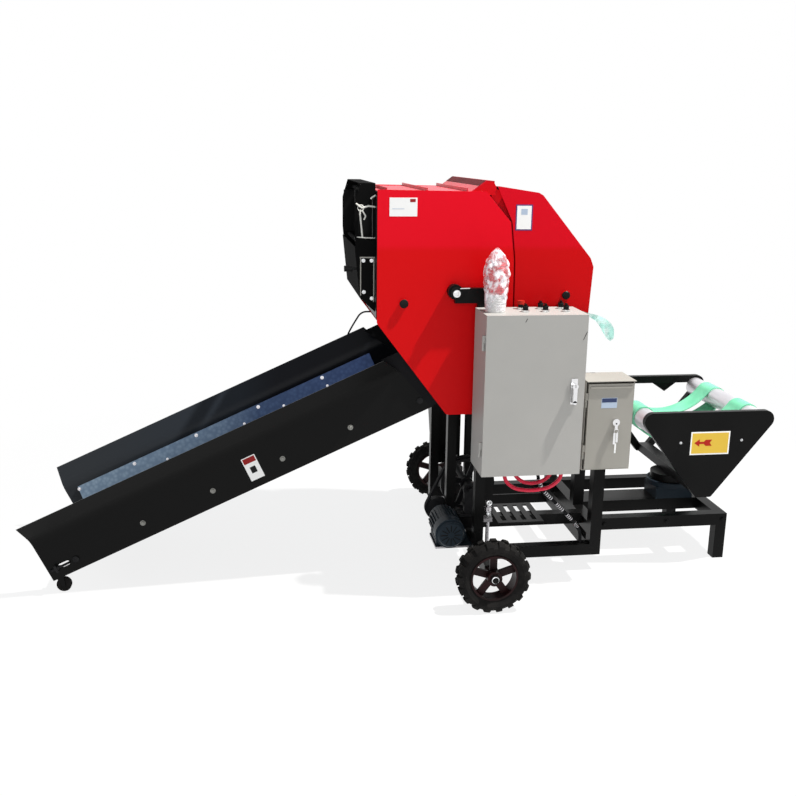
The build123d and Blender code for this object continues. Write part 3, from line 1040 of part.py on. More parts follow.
belt_low = DRUM_RADIUS + FACE_GAP
belt = stadium(belt_low + BELT_SHEET, -BELT_HALF_WIDTH, BELT_HALF_WIDTH) - stadium(
    belt_low, -BELT_HALF_WIDTH, BELT_HALF_WIDTH)
cleat_count = int(-TAIL_S // CLEAT_PITCH)
for index in range(cleat_count):
    cleat_s = -CLEAT_PITCH * (index + 0.5)
    belt = belt + block(cleat_s - CLEAT_THICKNESS / 2, cleat_s + CLEAT_THICKNESS / 2, -BELT_HALF_WIDTH + 20,
                        BELT_HALF_WIDTH - 20, belt_low + BELT_SHEET / 2, belt_low + BELT_SHEET + CLEAT_HEIGHT)
conveyor["conveyor_belt"] = belt

drums = []
for drum_s in (0, TAIL_S):
    drum = rod_y(drum_s, 0, DRUM_RADIUS, -BELT_HALF_WIDTH - 8, BELT_HALF_WIDTH + 8)
    drums.append(drum + rod_y(drum_s, 0, DRUM_SHAFT_RADIUS, plate_outer - 2, -plate_outer + 2))
conveyor["conveyor_drums"] = Compound(drums)

skirt_section = Polyline((0, plate_inner, SKIRT_TOP_H), (0, plate_inner + SKIRT_LEAN, SKIRT_BOTTOM_H),
                         (0, plate_inner + SKIRT_LEAN + 2, SKIRT_BOTTOM_H), (0, plate_inner + 2, SKIRT_TOP_H),
                         close=True)
skirt = Pos(CONVEYOR_LOW_S + 60, 0, 0) * extrude(make_face(skirt_section), amount=-CONVEYOR_LOW_S - 160, dir=(1, 0, 0))
conveyor["conveyor_skirts"] = Compound(both_sides(skirt))

gearmotor = rod_y(GEARMOTOR_S, 30, GEARMOTOR_RADIUS, -plate_outer, -plate_outer + GEARMOTOR_LENGTH)
conveyor["conveyor_motor"] = gearmotor

for name, shape in conveyor.items():
    nodes[name] = conveyor_place * shape

# Casters under the low end: a bracket on the side plate, a swivelling fork and a wheel
slope = radians(CONVEYOR_SLOPE)
caster_x = CONVEYOR_SHAFT[0] + CASTER_S * cos(slope)
caster_z = CONVEYOR_SHAFT[1] + CASTER_S * sin(slope)
brackets = []
for side, sign in (("near", -1), ("far", 1)):
    y = sign * CASTER_Y
    plate_side = sign * (SIDE_PLATE_Y - SIDE_PLATE_THICKNESS)
    tab_side = plate_side - sign * CASTER_TAB_THICKNESS
    inner_side = y - sign * 20
    bracket = block(caster_x - 20, caster_x + 24, min(inner_side, plate_side), max(inner_side, plate_side),
                    CASTER_TOP_Z + 6, CASTER_TOP_Z + 16)
    bracket = bracket + block(caster_x - 20, caster_x + 24, min(tab_side, plate_side), max(tab_side, plate_side),
                              CASTER_TOP_Z + 6, CASTER_TAB_TOP_Z)
    bracket = bracket - rod_z(caster_x, y, CASTER_STEM_RADIUS + RUNNING_GAP, CASTER_TOP_Z, CASTER_TOP_Z + 30)
    brackets.append(bracket)
    wheel_x = caster_x + CASTER_TRAIL
    fork = rod_z(caster_x, y, 18, CASTER_TOP_Z - 4, CASTER_TOP_Z)
    fork = fork + rod_z(caster_x, y, CASTER_STEM_RADIUS, CASTER_TOP_Z - 2, CASTER_TOP_Z + 18)
    half = CASTER_WHEEL_WIDTH / 2 + 1.5
    for ear_low in (y - half - 3, y + half):
        ear = profile([(caster_x - 14, CASTER_TOP_Z - 2), (caster_x + 16, CASTER_TOP_Z - 2),
                       (wheel_x + 8, CASTER_WHEEL_RADIUS - 7), (wheel_x - 8, CASTER_WHEEL_RADIUS - 7)],
                      ear_low, ear_low + 3)
        fork = fork + ear
    fork = fork + block(caster_x - 14, caster_x + 16, y - half - 3, y + half + 3, CASTER_TOP_Z - 5, CASTER_TOP_Z - 1)
    fork = fork + rod_y(wheel_x, CASTER_WHEEL_RADIUS, CASTER_AXLE_RADIUS, y - half - 3, y + half + 3)
    wheel = rod_y(wheel_x, CASTER_WHEEL_RADIUS, CASTER_WHEEL_RADIUS, y - CASTER_WHEEL_WIDTH / 2,
                  y + CASTER_WHEEL_WIDTH / 2)
    wheel = wheel - rod_y(wheel_x, CASTER_WHEEL_RADIUS, CASTER_AXLE_RADIUS + RUNNING_GAP,
                          y - CASTER_WHEEL_WIDTH / 2, y + CASTER_WHEEL_WIDTH / 2)
    nodes["caster_fork_" + side] = fork
    nodes["caster_wheel_" + side] = wheel
nodes["caster_brackets"] = Compound(brackets)

# The origin is the middle of the footprint on the ground
whole = Compound([shape for shape in nodes.values()])
extent = whole.bounding_box()
origin_x = (extent.min.X + extent.max.X) / 2
origin_y = (extent.min.Y + extent.max.Y) / 2
for name, shape in nodes.items():
    export_step(Pos(-origin_x, -origin_y, 0) * shape, "parts/" + name + ".step")
print("origin", origin_x, origin_y, "extent", extent)
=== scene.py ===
# %% [markdown]
# # A small round baler with its feed conveyor and wrapping table
#
# The machine is a red steel baling chamber on a black two-wheeled base. A long black conveyor feeds it
# from the left, two grey electrical cabinets stand on its near side, and a turning table at its right
# wraps the finished bale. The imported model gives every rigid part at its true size. This lesson dresses
# it: it mixes the paints and metals, adds the small things that a drawing of solids leaves out, and
# sets up the studio and the camera.

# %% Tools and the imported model
import math

import bmesh
import bpy
from mathutils import Matrix, Vector, noise


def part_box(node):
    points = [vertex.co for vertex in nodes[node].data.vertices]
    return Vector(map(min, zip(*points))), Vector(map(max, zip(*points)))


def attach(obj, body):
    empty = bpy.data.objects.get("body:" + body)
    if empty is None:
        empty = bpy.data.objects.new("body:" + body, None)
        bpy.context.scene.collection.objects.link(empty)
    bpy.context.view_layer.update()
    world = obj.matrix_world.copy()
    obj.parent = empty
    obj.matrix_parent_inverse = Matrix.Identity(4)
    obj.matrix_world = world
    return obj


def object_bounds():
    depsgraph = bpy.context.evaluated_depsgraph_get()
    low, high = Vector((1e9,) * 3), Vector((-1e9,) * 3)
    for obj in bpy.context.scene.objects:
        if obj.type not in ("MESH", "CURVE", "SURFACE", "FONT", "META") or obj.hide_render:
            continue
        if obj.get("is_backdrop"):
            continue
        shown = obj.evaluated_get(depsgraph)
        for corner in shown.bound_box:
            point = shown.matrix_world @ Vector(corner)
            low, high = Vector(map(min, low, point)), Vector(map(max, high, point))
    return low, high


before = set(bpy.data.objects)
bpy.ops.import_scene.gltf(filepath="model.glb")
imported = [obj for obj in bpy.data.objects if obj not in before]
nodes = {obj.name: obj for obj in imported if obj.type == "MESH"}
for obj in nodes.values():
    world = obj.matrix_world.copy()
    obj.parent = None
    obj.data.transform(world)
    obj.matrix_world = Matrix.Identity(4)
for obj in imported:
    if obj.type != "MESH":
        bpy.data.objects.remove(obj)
cad_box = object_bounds()
print("the packed model has", len(nodes), "parts")

# %% [markdown]
# ## Places
#
# All drawings of this machine measure from the wheel axle, the middle of the machine and the floor, in
# millimetres. The scene works in metres from the middle of the footprint. The numbers could be converted
# one by one, but then none could be checked against the machine with a tape. One small function turns
# the first into the second instead.

# %% Measuring from the axle
mm = 0.001
axle_low, axle_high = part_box("axle_beam")
AXLE_X = (axle_low[0] + axle_high[0]) / 2


def at(x, y, z):
    """A place in metres, from millimetres along and across from the axle's middle and up from the floor."""
    return Vector((AXLE_X + x * mm, y * mm, z * mm))


print("the axle is at X", round(AXLE_X, 4))

# %% [markdown]
# The conveyor is drawn level and then tilted about its head shaft. Its bolts, labels and screws could be
# read off the tilted drawing, as odd numbers. They are placed as it was drawn instead: along the slope,
# across it and square to it, and one matrix tilts them.

# %% Measuring on the conveyor
HEAD_SHAFT = at(-253, 0, 792)
CONVEYOR_SLOPE = math.radians(24.2)
CONVEYOR_TILT = Matrix.Translation(HEAD_SHAFT) @ Matrix.Rotation(-CONVEYOR_SLOPE, 4, "Y")


def on_conveyor(along, across, above):
    """A place on the sloping conveyor, in millimetres from the middle of its head shaft."""
    return CONVEYOR_TILT @ (Vector((along, across, above)) * mm)


print("the conveyor's head shaft is", round(HEAD_SHAFT.z, 3), "m above the floor")

# %% [markdown]
# ## Finishes
#
# Sprayed enamel is never one flat value: it lies in soft waves, and dust settles in them. A painted
# picture could show that, but it would have to be unwrapped onto every part. Each finish here is a
# shader whose colour a slow noise breaks a little. All patterns read Object coordinates, so that they
# stay on the piece wherever the piece goes. These are the first nodes that the finishes share.

# %% Noise and colour ramp
def blank_finish(name):
    """A material with an empty tree, its surface shader and its coordinates."""
    material = bpy.data.materials.new(name)
    material.use_nodes = True
    tree = material.node_tree
    shader = tree.nodes["Principled BSDF"]
    place = tree.nodes.new("ShaderNodeTexCoord")
    return material, tree, shader, place.outputs["Object"]


def add_noise(tree, place, scale, detail=3.0):
    """A noise in the piece's own space."""
    cloud = tree.nodes.new("ShaderNodeTexNoise")
    cloud.inputs["Scale"].default_value = scale
    cloud.inputs["Detail"].default_value = detail
    tree.links.new(place, cloud.inputs["Vector"])
    return cloud.outputs["Fac"]


def add_ramp(tree, driver, stops):
    """Colours chosen by a value: stops are pairs of a position and a colour."""
    ramp = tree.nodes.new("ShaderNodeValToRGB")
    while len(ramp.color_ramp.elements) < len(stops):
        ramp.color_ramp.elements.new(0.5)
    for element, (position, colour) in zip(ramp.color_ramp.elements, stops):
        element.position = position
        element.color = (*colour, 1.0)
    tree.links.new(driver, ramp.inputs["Fac"])
    return ramp.outputs["Color"]


print("an empty finish, a noise and a colour ramp are ready")

# %% [markdown]
# Two more numbers make a skin: how blurred its mirror image is, and how strong. Relief that is too small
# to model is left to a bump, which changes how the light falls and leaves the shape alone. A grey is
# written with one number instead of three.

# %% Shine, bump and greys
def set_shine(shader, roughness, gloss):
    """How blurred a finish's mirror image is, and how strong."""
    shader.inputs["Roughness"].default_value = roughness
    shader.inputs["Specular IOR Level"].default_value = gloss


def add_bump(tree, shader, height, strength, distance):
    """Small relief that only the light sees."""
    bump = tree.nodes.new("ShaderNodeBump")
    bump.inputs["Strength"].default_value = strength
    bump.inputs["Distance"].default_value = distance
    tree.links.new(height, bump.inputs["Height"])
    tree.links.new(bump.outputs["Normal"], shader.inputs["Normal"])


def grey(value):
    """A colour without a hue."""
    return (value, value, value)


print("shine, bump and greys are ready")

# %% [markdown]
# A paint is two close tones in soft patches. Large sprayed sheets also get a faint ripple, which breaks
# up the mirror image in them. The ripple could be modelled, but it is a fraction of a millimetre high,
# and a bump costs no faces.

# %% A paint
RIPPLE_SCALE = 14.0
RIPPLE_STRENGTH = 0.1
RIPPLE_HEIGHT = 2 * mm


def add_ripple(tree, shader, place):
    """The soft waves of a sprayed sheet."""
    ripple = add_noise(tree, place, RIPPLE_SCALE, 1.0)
    add_bump(tree, shader, ripple, RIPPLE_STRENGTH, RIPPLE_HEIGHT)


def paint(name, light, dark, roughness, gloss=0.5, patch=3.0, sprayed=False):
    """An enamel or a plain coloured skin with soft patches between two tones."""
    material, tree, shader, place = blank_finish(name)
    cloud = add_noise(tree, place, patch)
    colour = add_ramp(tree, cloud, [(0.35, dark), (0.65, light)])
    tree.links.new(colour, shader.inputs["Base Color"])
    set_shine(shader, roughness, gloss)
    if sprayed:
        add_ripple(tree, shader, place)
    return material


print("a ripple is", RIPPLE_HEIGHT, "m high at full strength")

# %% [markdown]
# The large sheets are red, black and two greys. The roof is dustier than the covers, and the twine frame
# only has a matt primer. The light falls steeply, so the tones are deep: the lamps lift them.

# %% Paints of the sheets and frames
RED_SHINE = (0.36, 0.08)
BLACK_SHINE = (0.32, 0.09)
RED = paint("red_enamel", (0.62, 0.0030, 0.0090), (0.56, 0.0024, 0.0070), *RED_SHINE, sprayed=True)
BLACK = paint("black_enamel", grey(0.0050), (0.0030, 0.0030, 0.0031), *BLACK_SHINE, sprayed=True)
MATT_BLACK = paint("matt_black_primer", grey(0.0060), grey(0.0040), 0.8, 0.02)
ROOF_RED = paint("dusty_roof_enamel", (0.60, 0.008, 0.034), (0.52, 0.003, 0.014), 0.34, 0.3, 7.0)
GREY = paint("cabinet_powder_coat", (0.380, 0.372, 0.354), (0.366, 0.359, 0.341), 0.5, 0.3, 6.0)
SMALL_GREY = paint("small_cabinet_coat", (0.315, 0.302, 0.272), (0.295, 0.283, 0.254), 0.5, 0.3, 6.0)
# The maroon is painted shade: it darkens a strip where the flashing's edge lies in shadow.
SHADE_MAROON = paint("maroon_painted_shade", (0.10, 0.006, 0.008), (0.07, 0.004, 0.006), 0.6, 0.08)
print("seven paints for sheets and frames")

# %% [markdown]
# Motors, castings, plastic and rubber are nearly black, each with its own gloss. Their patches are
# smaller, because the things are smaller: a patch of a cover's size would leave a bolt in one tone.

# %% Skins of the small parts
MOTOR = paint("motor_enamel", (0.018, 0.027, 0.036), (0.011, 0.018, 0.026), 0.4, 0.12)
CAST = paint("cast_iron", (0.014, 0.014, 0.015), (0.007, 0.007, 0.008), 0.55, 0.12, 30.0)
PLASTIC = paint("black_plastic", grey(0.006), grey(0.004), 0.4, 0.12)
RUBBER = paint("belt_rubber", (0.008, 0.008, 0.009), (0.005, 0.005, 0.006), 0.7, 0.08, 8.0)
RIM = paint("rim_enamel", (0.022, 0.005, 0.006), (0.009, 0.004, 0.004), 0.38, 0.12, 10.0)
HOSE_RED = paint("red_hose_cover", (0.66, 0.012, 0.050), (0.50, 0.008, 0.036), 0.35, 0.3, 20.0)
TWINE = paint("white_twine", (0.78, 0.77, 0.72), (0.62, 0.61, 0.56), 0.8, patch=60.0)
print("seven skins for small parts")

# %% [markdown]
# The labels are printed film: flat colours with little gloss. One tone would do, but a second one close
# to it keeps a label from looking cut out of paper.

# %% Label colours
WHITE = paint("white_label", (0.86, 0.86, 0.85), (0.82, 0.82, 0.81), 0.45, 0.2)
DARK_RED = paint("dark_red_print", (0.30, 0.02, 0.02), (0.26, 0.015, 0.015), 0.5, 0.1)
ARROW_RED = paint("arrow_red_print", (0.40, 0.020, 0.012), (0.36, 0.016, 0.010), 0.5, 0.1)
YELLOW = paint("yellow_label", (0.68, 0.45, 0.045), (0.62, 0.41, 0.040), 0.5, 0.3)
NAVY = paint("navy_print", (0.012, 0.030, 0.11), (0.010, 0.024, 0.09), 0.45)
PALE_BLUE = paint("pale_blue_print", (0.42, 0.50, 0.62), (0.40, 0.48, 0.60), 0.45, 0.2)
VIOLET = paint("violet_print", (0.07, 0.015, 0.14), (0.06, 0.012, 0.12), 0.45)
print("seven label colours")

# %% [markdown]
# Some finishes change from place to place: the covers with height, the conveyor's sides and strips along
# the machine, the lamp from its foot to its lens. Separate materials would need cut meshes. Instead, a
# coordinate is turned into a share, and the share picks the colour.

# %% Shares of a coordinate
def add_split(tree, place):
    """The three coordinates of a place."""
    split = tree.nodes.new("ShaderNodeSeparateXYZ")
    tree.links.new(place, split.inputs["Vector"])
    return split.outputs


def add_share(tree, value, first, last):
    """0 to 1 while a value goes from first to last."""
    share = tree.nodes.new("ShaderNodeMapRange")
    share.inputs["From Min"].default_value = first
    share.inputs["From Max"].default_value = last
    tree.links.new(value, share.inputs["Value"])
    return share.outputs["Result"]


def add_step(tree, value, threshold):
    """0 up to a threshold and 1 above it."""
    step = tree.nodes.new("ShaderNodeMath")
    step.operation = "GREATER_THAN"
    step.inputs[1].default_value = threshold
    tree.links.new(value, step.inputs[0])
    return step.outputs[0]


print("a place can be split into shares and steps")

# %% [markdown]
# Two colours are mixed by such a share, or multiplied where one is a pattern that lies over the other. A
# mix node has sockets for numbers, vectors and colours with the same names, so its colour sockets are
# found by number.

# %% Mixing two colours
MIX_FIRST = 6
MIX_SECOND = 7
MIX_COLOUR = 2


def add_mix(tree, kind, first, second, share=None):
    """Two colours mixed or multiplied: by a share, or wholly where none is given."""
    mix = tree.nodes.new("ShaderNodeMix")
    mix.data_type = "RGBA"
    mix.blend_type = kind
    mix.inputs["Factor"].default_value = 1.0
    if share is not None:
        tree.links.new(share, mix.inputs["Factor"])
    tree.links.new(first, mix.inputs[MIX_FIRST])
    tree.links.new(second, mix.inputs[MIX_SECOND])
    return mix.outputs[MIX_COLOUR]


print("colours can be mixed and multiplied")

# %% [markdown]
# The big covers mirror what is round the machine: bright above and darker below. The border between the two
# lies at one height on both halves of the body. A real mirror image would need real surroundings, so that
# reflection is painted: the covers' shader changes its tone at that height instead. The tailgate leans a
# little away from the light, and its enamel is the same with painted shade, a deeper tone of the same red.

# %% Red covers
REFLECTION_LINE = 1.42
REFLECTION_REACH = 0.5
COVER_REFLECTION_TONES = (
    (0.0, (0.60, 0.0026, 0.0040)),
    (0.488, (0.62, 0.0028, 0.0046)),
    (0.512, (0.70, 0.0030, 0.0125)),
    (1.0, (0.74, 0.0036, 0.0190)),
)
COVER_WAVE_SCALE = 5.0
COVER_WAVE_HEIGHT = 4 * mm


def cover_enamel_with_painted_reflection(name, shade):
    """Red enamel with a painted reflection, brighter and pinker above the reflection line and deeper below
    it; painted shade darkens both.
    """
    material, tree, shader, place = blank_finish(name)
    height = add_share(tree, add_split(tree, place)["Z"], REFLECTION_LINE - REFLECTION_REACH, REFLECTION_LINE + REFLECTION_REACH)
    stops = [(position, tuple(shade * part for part in colour)) for position, colour in COVER_REFLECTION_TONES]
    tree.links.new(add_ramp(tree, height, stops), shader.inputs["Base Color"])
    set_shine(shader, *RED_SHINE)
    add_bump(tree, shader, add_noise(tree, place, COVER_WAVE_SCALE, 1.0), 0.10, COVER_WAVE_HEIGHT)
    return material


COVER_RED = cover_enamel_with_painted_reflection("cover_enamel_with_painted_reflection", 1.0)
SHADED_TAILGATE_RED = cover_enamel_with_painted_reflection("tailgate_painted_shade_enamel", 0.86)
print("the cover enamel changes tone at", REFLECTION_LINE, "m")

# %% [markdown]
# Bare metal takes its look from what it mirrors. Ground rollers have fine streaks along their length, so
# their noise is drawn out in that direction. Bolts and the lock are plated, and the conveyor's bolts
# have gone dull. Scratched pictures could do the same, but a stretched noise has no seam and no end.

# %% Bare metals
def metal(name, colour, dark, roughness, grain, stretch=(1.0, 1.0, 1.0)):
    """Bare metal whose grain is a noise, drawn out along one direction where it was ground."""
    material, tree, shader, place = blank_finish(name)
    mapping = tree.nodes.new("ShaderNodeMapping")
    mapping.inputs["Scale"].default_value = stretch
    tree.links.new(place, mapping.inputs["Vector"])
    cloud = add_noise(tree, mapping.outputs["Vector"], grain)
    tone = add_ramp(tree, cloud, [(0.3, dark), (0.7, colour)])
    tree.links.new(tone, shader.inputs["Base Color"])
    shader.inputs["Metallic"].default_value = 1.0
    shader.inputs["Roughness"].default_value = roughness
    return material


STEEL = metal("ground_steel", (0.62, 0.61, 0.63), (0.48, 0.47, 0.49), 0.34, 60.0, (1.0, 0.05, 1.0))
ROLLER = metal("worn_roller_steel", (0.80, 0.79, 0.82), (0.60, 0.59, 0.62), 0.45, 30.0, (1.0, 0.1, 1.0))
BRIGHT = metal("zinc_plated_bolt", (0.78, 0.79, 0.80), (0.60, 0.61, 0.62), 0.25, 200.0)
CHROME = metal("chrome_plate", (0.85, 0.85, 0.86), (0.80, 0.80, 0.81), 0.12, 40.0)
DULL = metal("dull_bolt", (0.30, 0.30, 0.28), (0.16, 0.16, 0.15), 0.5, 200.0)
print("five bare metals")

# %% [markdown]
# The strips inside the conveyor are galvanised sheet. Zinc sets in crystals. A noise would blur them, so a
# pattern of cells draws them, each a little darker towards its edge. Light and shade are painted along the
# strips: painted sunlight makes their low end pale, and the painted shade of the machine makes their upper
# end blue.

# %% Galvanised strips
CONVEYOR_LOW_END = -1.45
CONVEYOR_HIGH_END = 0.0
CRYSTAL_SCALE = 55.0
STRIP_LIGHT_AND_SHADE_TONES = (
    (0.0, (0.170, 0.230, 0.290)),
    (0.42, (0.095, 0.135, 0.190)),
    (0.56, (0.030, 0.052, 0.105)),
    (1.0, (0.022, 0.042, 0.110)),
)


def galvanised_sheet():
    """Zinc frost, with painted light that makes the low end pale and painted shade that makes the upper end
    blue.
    """
    material, tree, shader, place = blank_finish("galvanised_sheet")
    frost = tree.nodes.new("ShaderNodeTexVoronoi")
    frost.inputs["Scale"].default_value = CRYSTAL_SCALE
    tree.links.new(place, frost.inputs["Vector"])
    crystal = add_ramp(tree, frost.outputs["Distance"], [(0.0, grey(1.0)), (0.7, (0.62, 0.66, 0.72))])
    run = add_share(tree, add_split(tree, place)["X"], CONVEYOR_LOW_END, CONVEYOR_HIGH_END)
    tone = add_ramp(tree, run, STRIP_LIGHT_AND_SHADE_TONES)
    tree.links.new(add_mix(tree, "MULTIPLY", tone, crystal), shader.inputs["Base Color"])
    shader.inputs["Metallic"].default_value = 0.8
    shader.inputs["Roughness"].default_value = 0.38
    return material


GALVANISED = galvanised_sheet()
print("the strips turn from pale to blue over", CONVEYOR_HIGH_END - CONVEYOR_LOW_END, "m")

# %% [markdown]
# The conveyor's sides are the same black enamel. The near side shows its outer face, which stays black. The
# far side shows its inner face, which takes the light from above: that light is painted into its colour,
# slate at its low end, and painted shade makes it darker towards its upper end. Both sides are one part, so
# the shader tells them apart by the side of the machine they are on.

# %% Enamel of the conveyor's sides
FAR_SIDE_LIGHT_AND_SHADE_TONES = (
    (0.0, (0.024, 0.027, 0.031)),
    (0.50, (0.019, 0.024, 0.032)),
    (0.62, (0.0075, 0.0085, 0.0125)),
    (1.0, (0.0050, 0.0056, 0.0075)),
)


def plate_enamel():
    """Black enamel on the near side, and on the far side painted light, slate at the low end, with painted
    shade towards the upper end.
    """
    material, tree, shader, place = blank_finish("conveyor_plate_enamel")
    parts = add_split(tree, place)
    run = add_share(tree, parts["X"], CONVEYOR_LOW_END, CONVEYOR_HIGH_END)
    near_tone = add_ramp(tree, run, [(0.0, grey(0.0046)), (1.0, grey(0.0050))])
    far_painted_light = add_ramp(tree, run, FAR_SIDE_LIGHT_AND_SHADE_TONES)
    is_far = add_step(tree, parts["Y"], 0.0)
    tree.links.new(add_mix(tree, "MIX", near_tone, far_painted_light, is_far), shader.inputs["Base Color"])
    set_shine(shader, *BLACK_SHINE)
    add_ripple(tree, shader, place)
    return material


PLATE_BLACK = plate_enamel()
print("the conveyor's sides have", len(FAR_SIDE_LIGHT_AND_SHADE_TONES), "slate tones on the far side")

# %% [markdown]
# Tyre rubber is dull and holds pale dust in its pores. The pores are far too many to model, so a fine
# noise makes them as a bump, and a coarser one spreads the dust.

# %% Tyre rubber
def tyre_rubber():
    """Dull black with pale dust."""
    material, tree, shader, place = blank_finish("tyre_rubber")
    cloud = add_noise(tree, place, 26.0, 6.0)
    tone = add_ramp(tree, cloud, [(0.42, (0.0060, 0.0056, 0.0054)), (0.80, (0.015, 0.014, 0.013))])
    tree.links.new(tone, shader.inputs["Base Color"])
    set_shine(shader, 0.82, 0.12)
    add_bump(tree, shader, add_noise(tree, place, 180.0, 2.0), 0.3, 1 * mm)
    return material


TYRE = tyre_rubber()
print("tyre rubber is mixed")

# %% [markdown]
# The wrapping belts are mint green, with a fine rib across them for grip. The rib is too fine to model,
# so a wave makes it: even bands that only the light sees.

# %% Belt cloth
def add_rib(tree, place, direction, scale):
    """Even bands, one after the other in a direction."""
    rib = tree.nodes.new("ShaderNodeTexWave")
    rib.bands_direction = direction
    rib.inputs["Scale"].default_value = scale
    tree.links.new(place, rib.inputs["Vector"])
    return rib.outputs["Fac"]


def belt_cloth():
    """Mint green belting with a fine rib across it."""
    material, tree, shader, place = blank_finish("mint_belting")
    cloud = add_noise(tree, place, 9.0)
    tone = add_ramp(tree, cloud, [(0.35, (0.13, 0.52, 0.31)), (0.65, (0.19, 0.62, 0.39))])
    tree.links.new(tone, shader.inputs["Base Color"])
    shader.inputs["Roughness"].default_value = 0.6
    add_bump(tree, shader, add_rib(tree, place, "Y", 90.0), 0.25, 1 * mm)
    return material


MINT = belt_cloth()
print("belt cloth is mixed")

# %% [markdown]
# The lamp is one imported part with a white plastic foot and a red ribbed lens. Two materials would need a
# cut between them, so the colour changes at the height where the lens begins. The belts' rib, wider and
# turned upright, serves the lens too.

# %% Lamp skin
LAMP_FOOT_TOP = 1.255


def lamp_skin():
    """A white plastic foot below a red ribbed lens."""
    material, tree, shader, place = blank_finish("beacon_plastic")
    is_lens = add_step(tree, add_split(tree, place)["Z"], LAMP_FOOT_TOP)
    tone = add_ramp(tree, is_lens, [(0.0, (0.72, 0.71, 0.70)), (1.0, (0.62, 0.006, 0.016))])
    tree.links.new(tone, shader.inputs["Base Color"])
    shader.inputs["Roughness"].default_value = 0.2
    add_bump(tree, shader, add_rib(tree, place, "Z", 30.0), 0.4, 3 * mm)
    return material


LENS = lamp_skin()
print("the lens begins at", LAMP_FOOT_TOP, "m")

# %% [markdown]
# Wrapping film and the lamp's bag are clear in most places and white in streaks, which are partly milky
# creases and partly painted sheen for the highlights on the folds. Glass with refraction would be slow and
# too heavy for a skin this thin. A noise in the Alpha socket lets most of the light straight through and
# stops it in the white streaks.

# %% Clear films
def clear_skin(name, colour, thin, thick, scale, roughness):
    """A see-through skin with white streaks, partly milky creases and partly painted sheen: thin and thick
    are how much of it shows between the streaks and on them.
    """
    material, tree, shader, place = blank_finish(name)
    crease_and_sheen = add_noise(tree, place, scale, 4.0)
    cover = add_ramp(tree, crease_and_sheen, [(0.44, grey(thin)), (0.60, grey(thick))])
    tree.links.new(cover, shader.inputs["Alpha"])
    shader.inputs["Base Color"].default_value = (*colour, 1.0)
    shader.inputs["Roughness"].default_value = roughness
    return material


FILM = clear_skin("clear_film", (0.93, 0.90, 0.94), 0.16, 0.95, 34.0, 0.12)
MINT_FILM = clear_skin("mint_film", (0.40, 0.78, 0.69), 0.55, 0.95, 40.0, 0.3)
print("two clear films")

# %% [markdown]
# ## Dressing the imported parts
#
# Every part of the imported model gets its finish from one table. The parts could be dressed one call
# after another, but a table shows at a glance what is painted alike. A part's first material is simply
# exchanged for the new one.

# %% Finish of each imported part
PART_FINISHES = {
    COVER_RED: ["side_cover_near", "side_cover_far"],
    SHADED_TAILGATE_RED: ["tailgate_covers"],
    RED: ["tailgate_sheet", "tailgate_walls", "tailgate_hinge_rod"],
    ROOF_RED: ["roof_panel"],
    MATT_BLACK: ["twine_frame"],
    PLATE_BLACK: ["conveyor_sides"],
    BLACK: ["axle_beam", "base_frame", "upper_rails", "rear_stand", "body_posts", "chamber_wall_near",
            "chamber_wall_far", "front_wall", "chain_guard", "outrigger_arm", "cabinet_leg",
            "wrapping_base", "table_cover", "table_frame", "conveyor_bed",
            "caster_brackets", "caster_fork_near", "caster_fork_far"],
    GREY: ["control_cabinet", "cabinet_door"],
    SMALL_GREY: ["small_cabinet", "small_cabinet_door"],
    STEEL: ["front_rollers", "rear_rollers", "conveyor_drums", "levelling_screw"],
    ROLLER: ["table_rollers"],
    GALVANISED: ["conveyor_skirts"],
    MOTOR: ["drive_motor", "conveyor_motor", "turntable_drive"],
    CAST: ["motor_pulley", "countershaft", "shaft_bearings"],
    TYRE: ["tyre_near", "tyre_far", "caster_wheel_near", "caster_wheel_far"],
    RIM: ["rim_near", "rim_far"],
    RUBBER: ["drive_belt", "conveyor_belt", "hanging_cable", "spring_hose"],
    HOSE_RED: ["cabinet_hoses"],
    MINT: ["table_belts"],
    LENS: ["beacon"],
    PLASTIC: ["cabinet_switches", "twine_handle"],
}
dressed = 0
for finish, names in PART_FINISHES.items():
    for name in names:
        skin = nodes[name].data.materials
        skin.clear()
        skin.append(finish)
        dressed += 1
print("dressed", dressed, "of", len(nodes), "parts")

# %% [markdown]
# ## Small pieces
#
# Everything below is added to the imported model: bolts, caps, labels, a lever, keys, the lamp's film bag.
# Each piece is built where it belongs, from blocks, round bars and cut sheets, and then rides on the
# body that carries it, so that a bolt on the tailgate lifts with the tailgate.

# %% Blocks, round bars and rings
ROD_SIDES = 20
RING_WIRE_SIDES = 8


def add_block(shape, low, high, placed=None):
    """A box between two corners."""
    made = bmesh.ops.create_cube(shape, size=1.0)
    bmesh.ops.scale(shape, vec=high - low, verts=made["verts"])
    bmesh.ops.translate(shape, vec=(low + high) / 2, verts=made["verts"])
    if placed is not None:
        bmesh.ops.transform(shape, matrix=placed, verts=made["verts"])


def add_rod(shape, start, end, radius, sides=ROD_SIDES, end_radius=None):
    """A round bar or a cone between two places."""
    run = end - start
    turn = run.to_track_quat("Z", "Y").to_matrix().to_4x4()
    placed = Matrix.Translation((start + end) / 2) @ turn
    narrow = radius if end_radius is None else end_radius
    bmesh.ops.create_cone(shape, cap_ends=True, segments=sides, radius1=radius, radius2=narrow,
                          depth=run.length, matrix=placed)


def add_ring(shape, centre, axis, radius, thickness, sides):
    """A round wire bent to a ring about an axis."""
    turn = axis.to_track_quat("Z", "Y")
    places = []
    for index in range(sides):
        angle = 2 * math.pi * index / sides
        places.append(centre + turn @ Vector((radius * math.cos(angle), radius * math.sin(angle), 0.0)))
    for place, following in zip(places, places[1:] + places[:1]):
        add_rod(shape, place, following, thickness, RING_WIRE_SIDES)


print("blocks, bars and rings are ready")

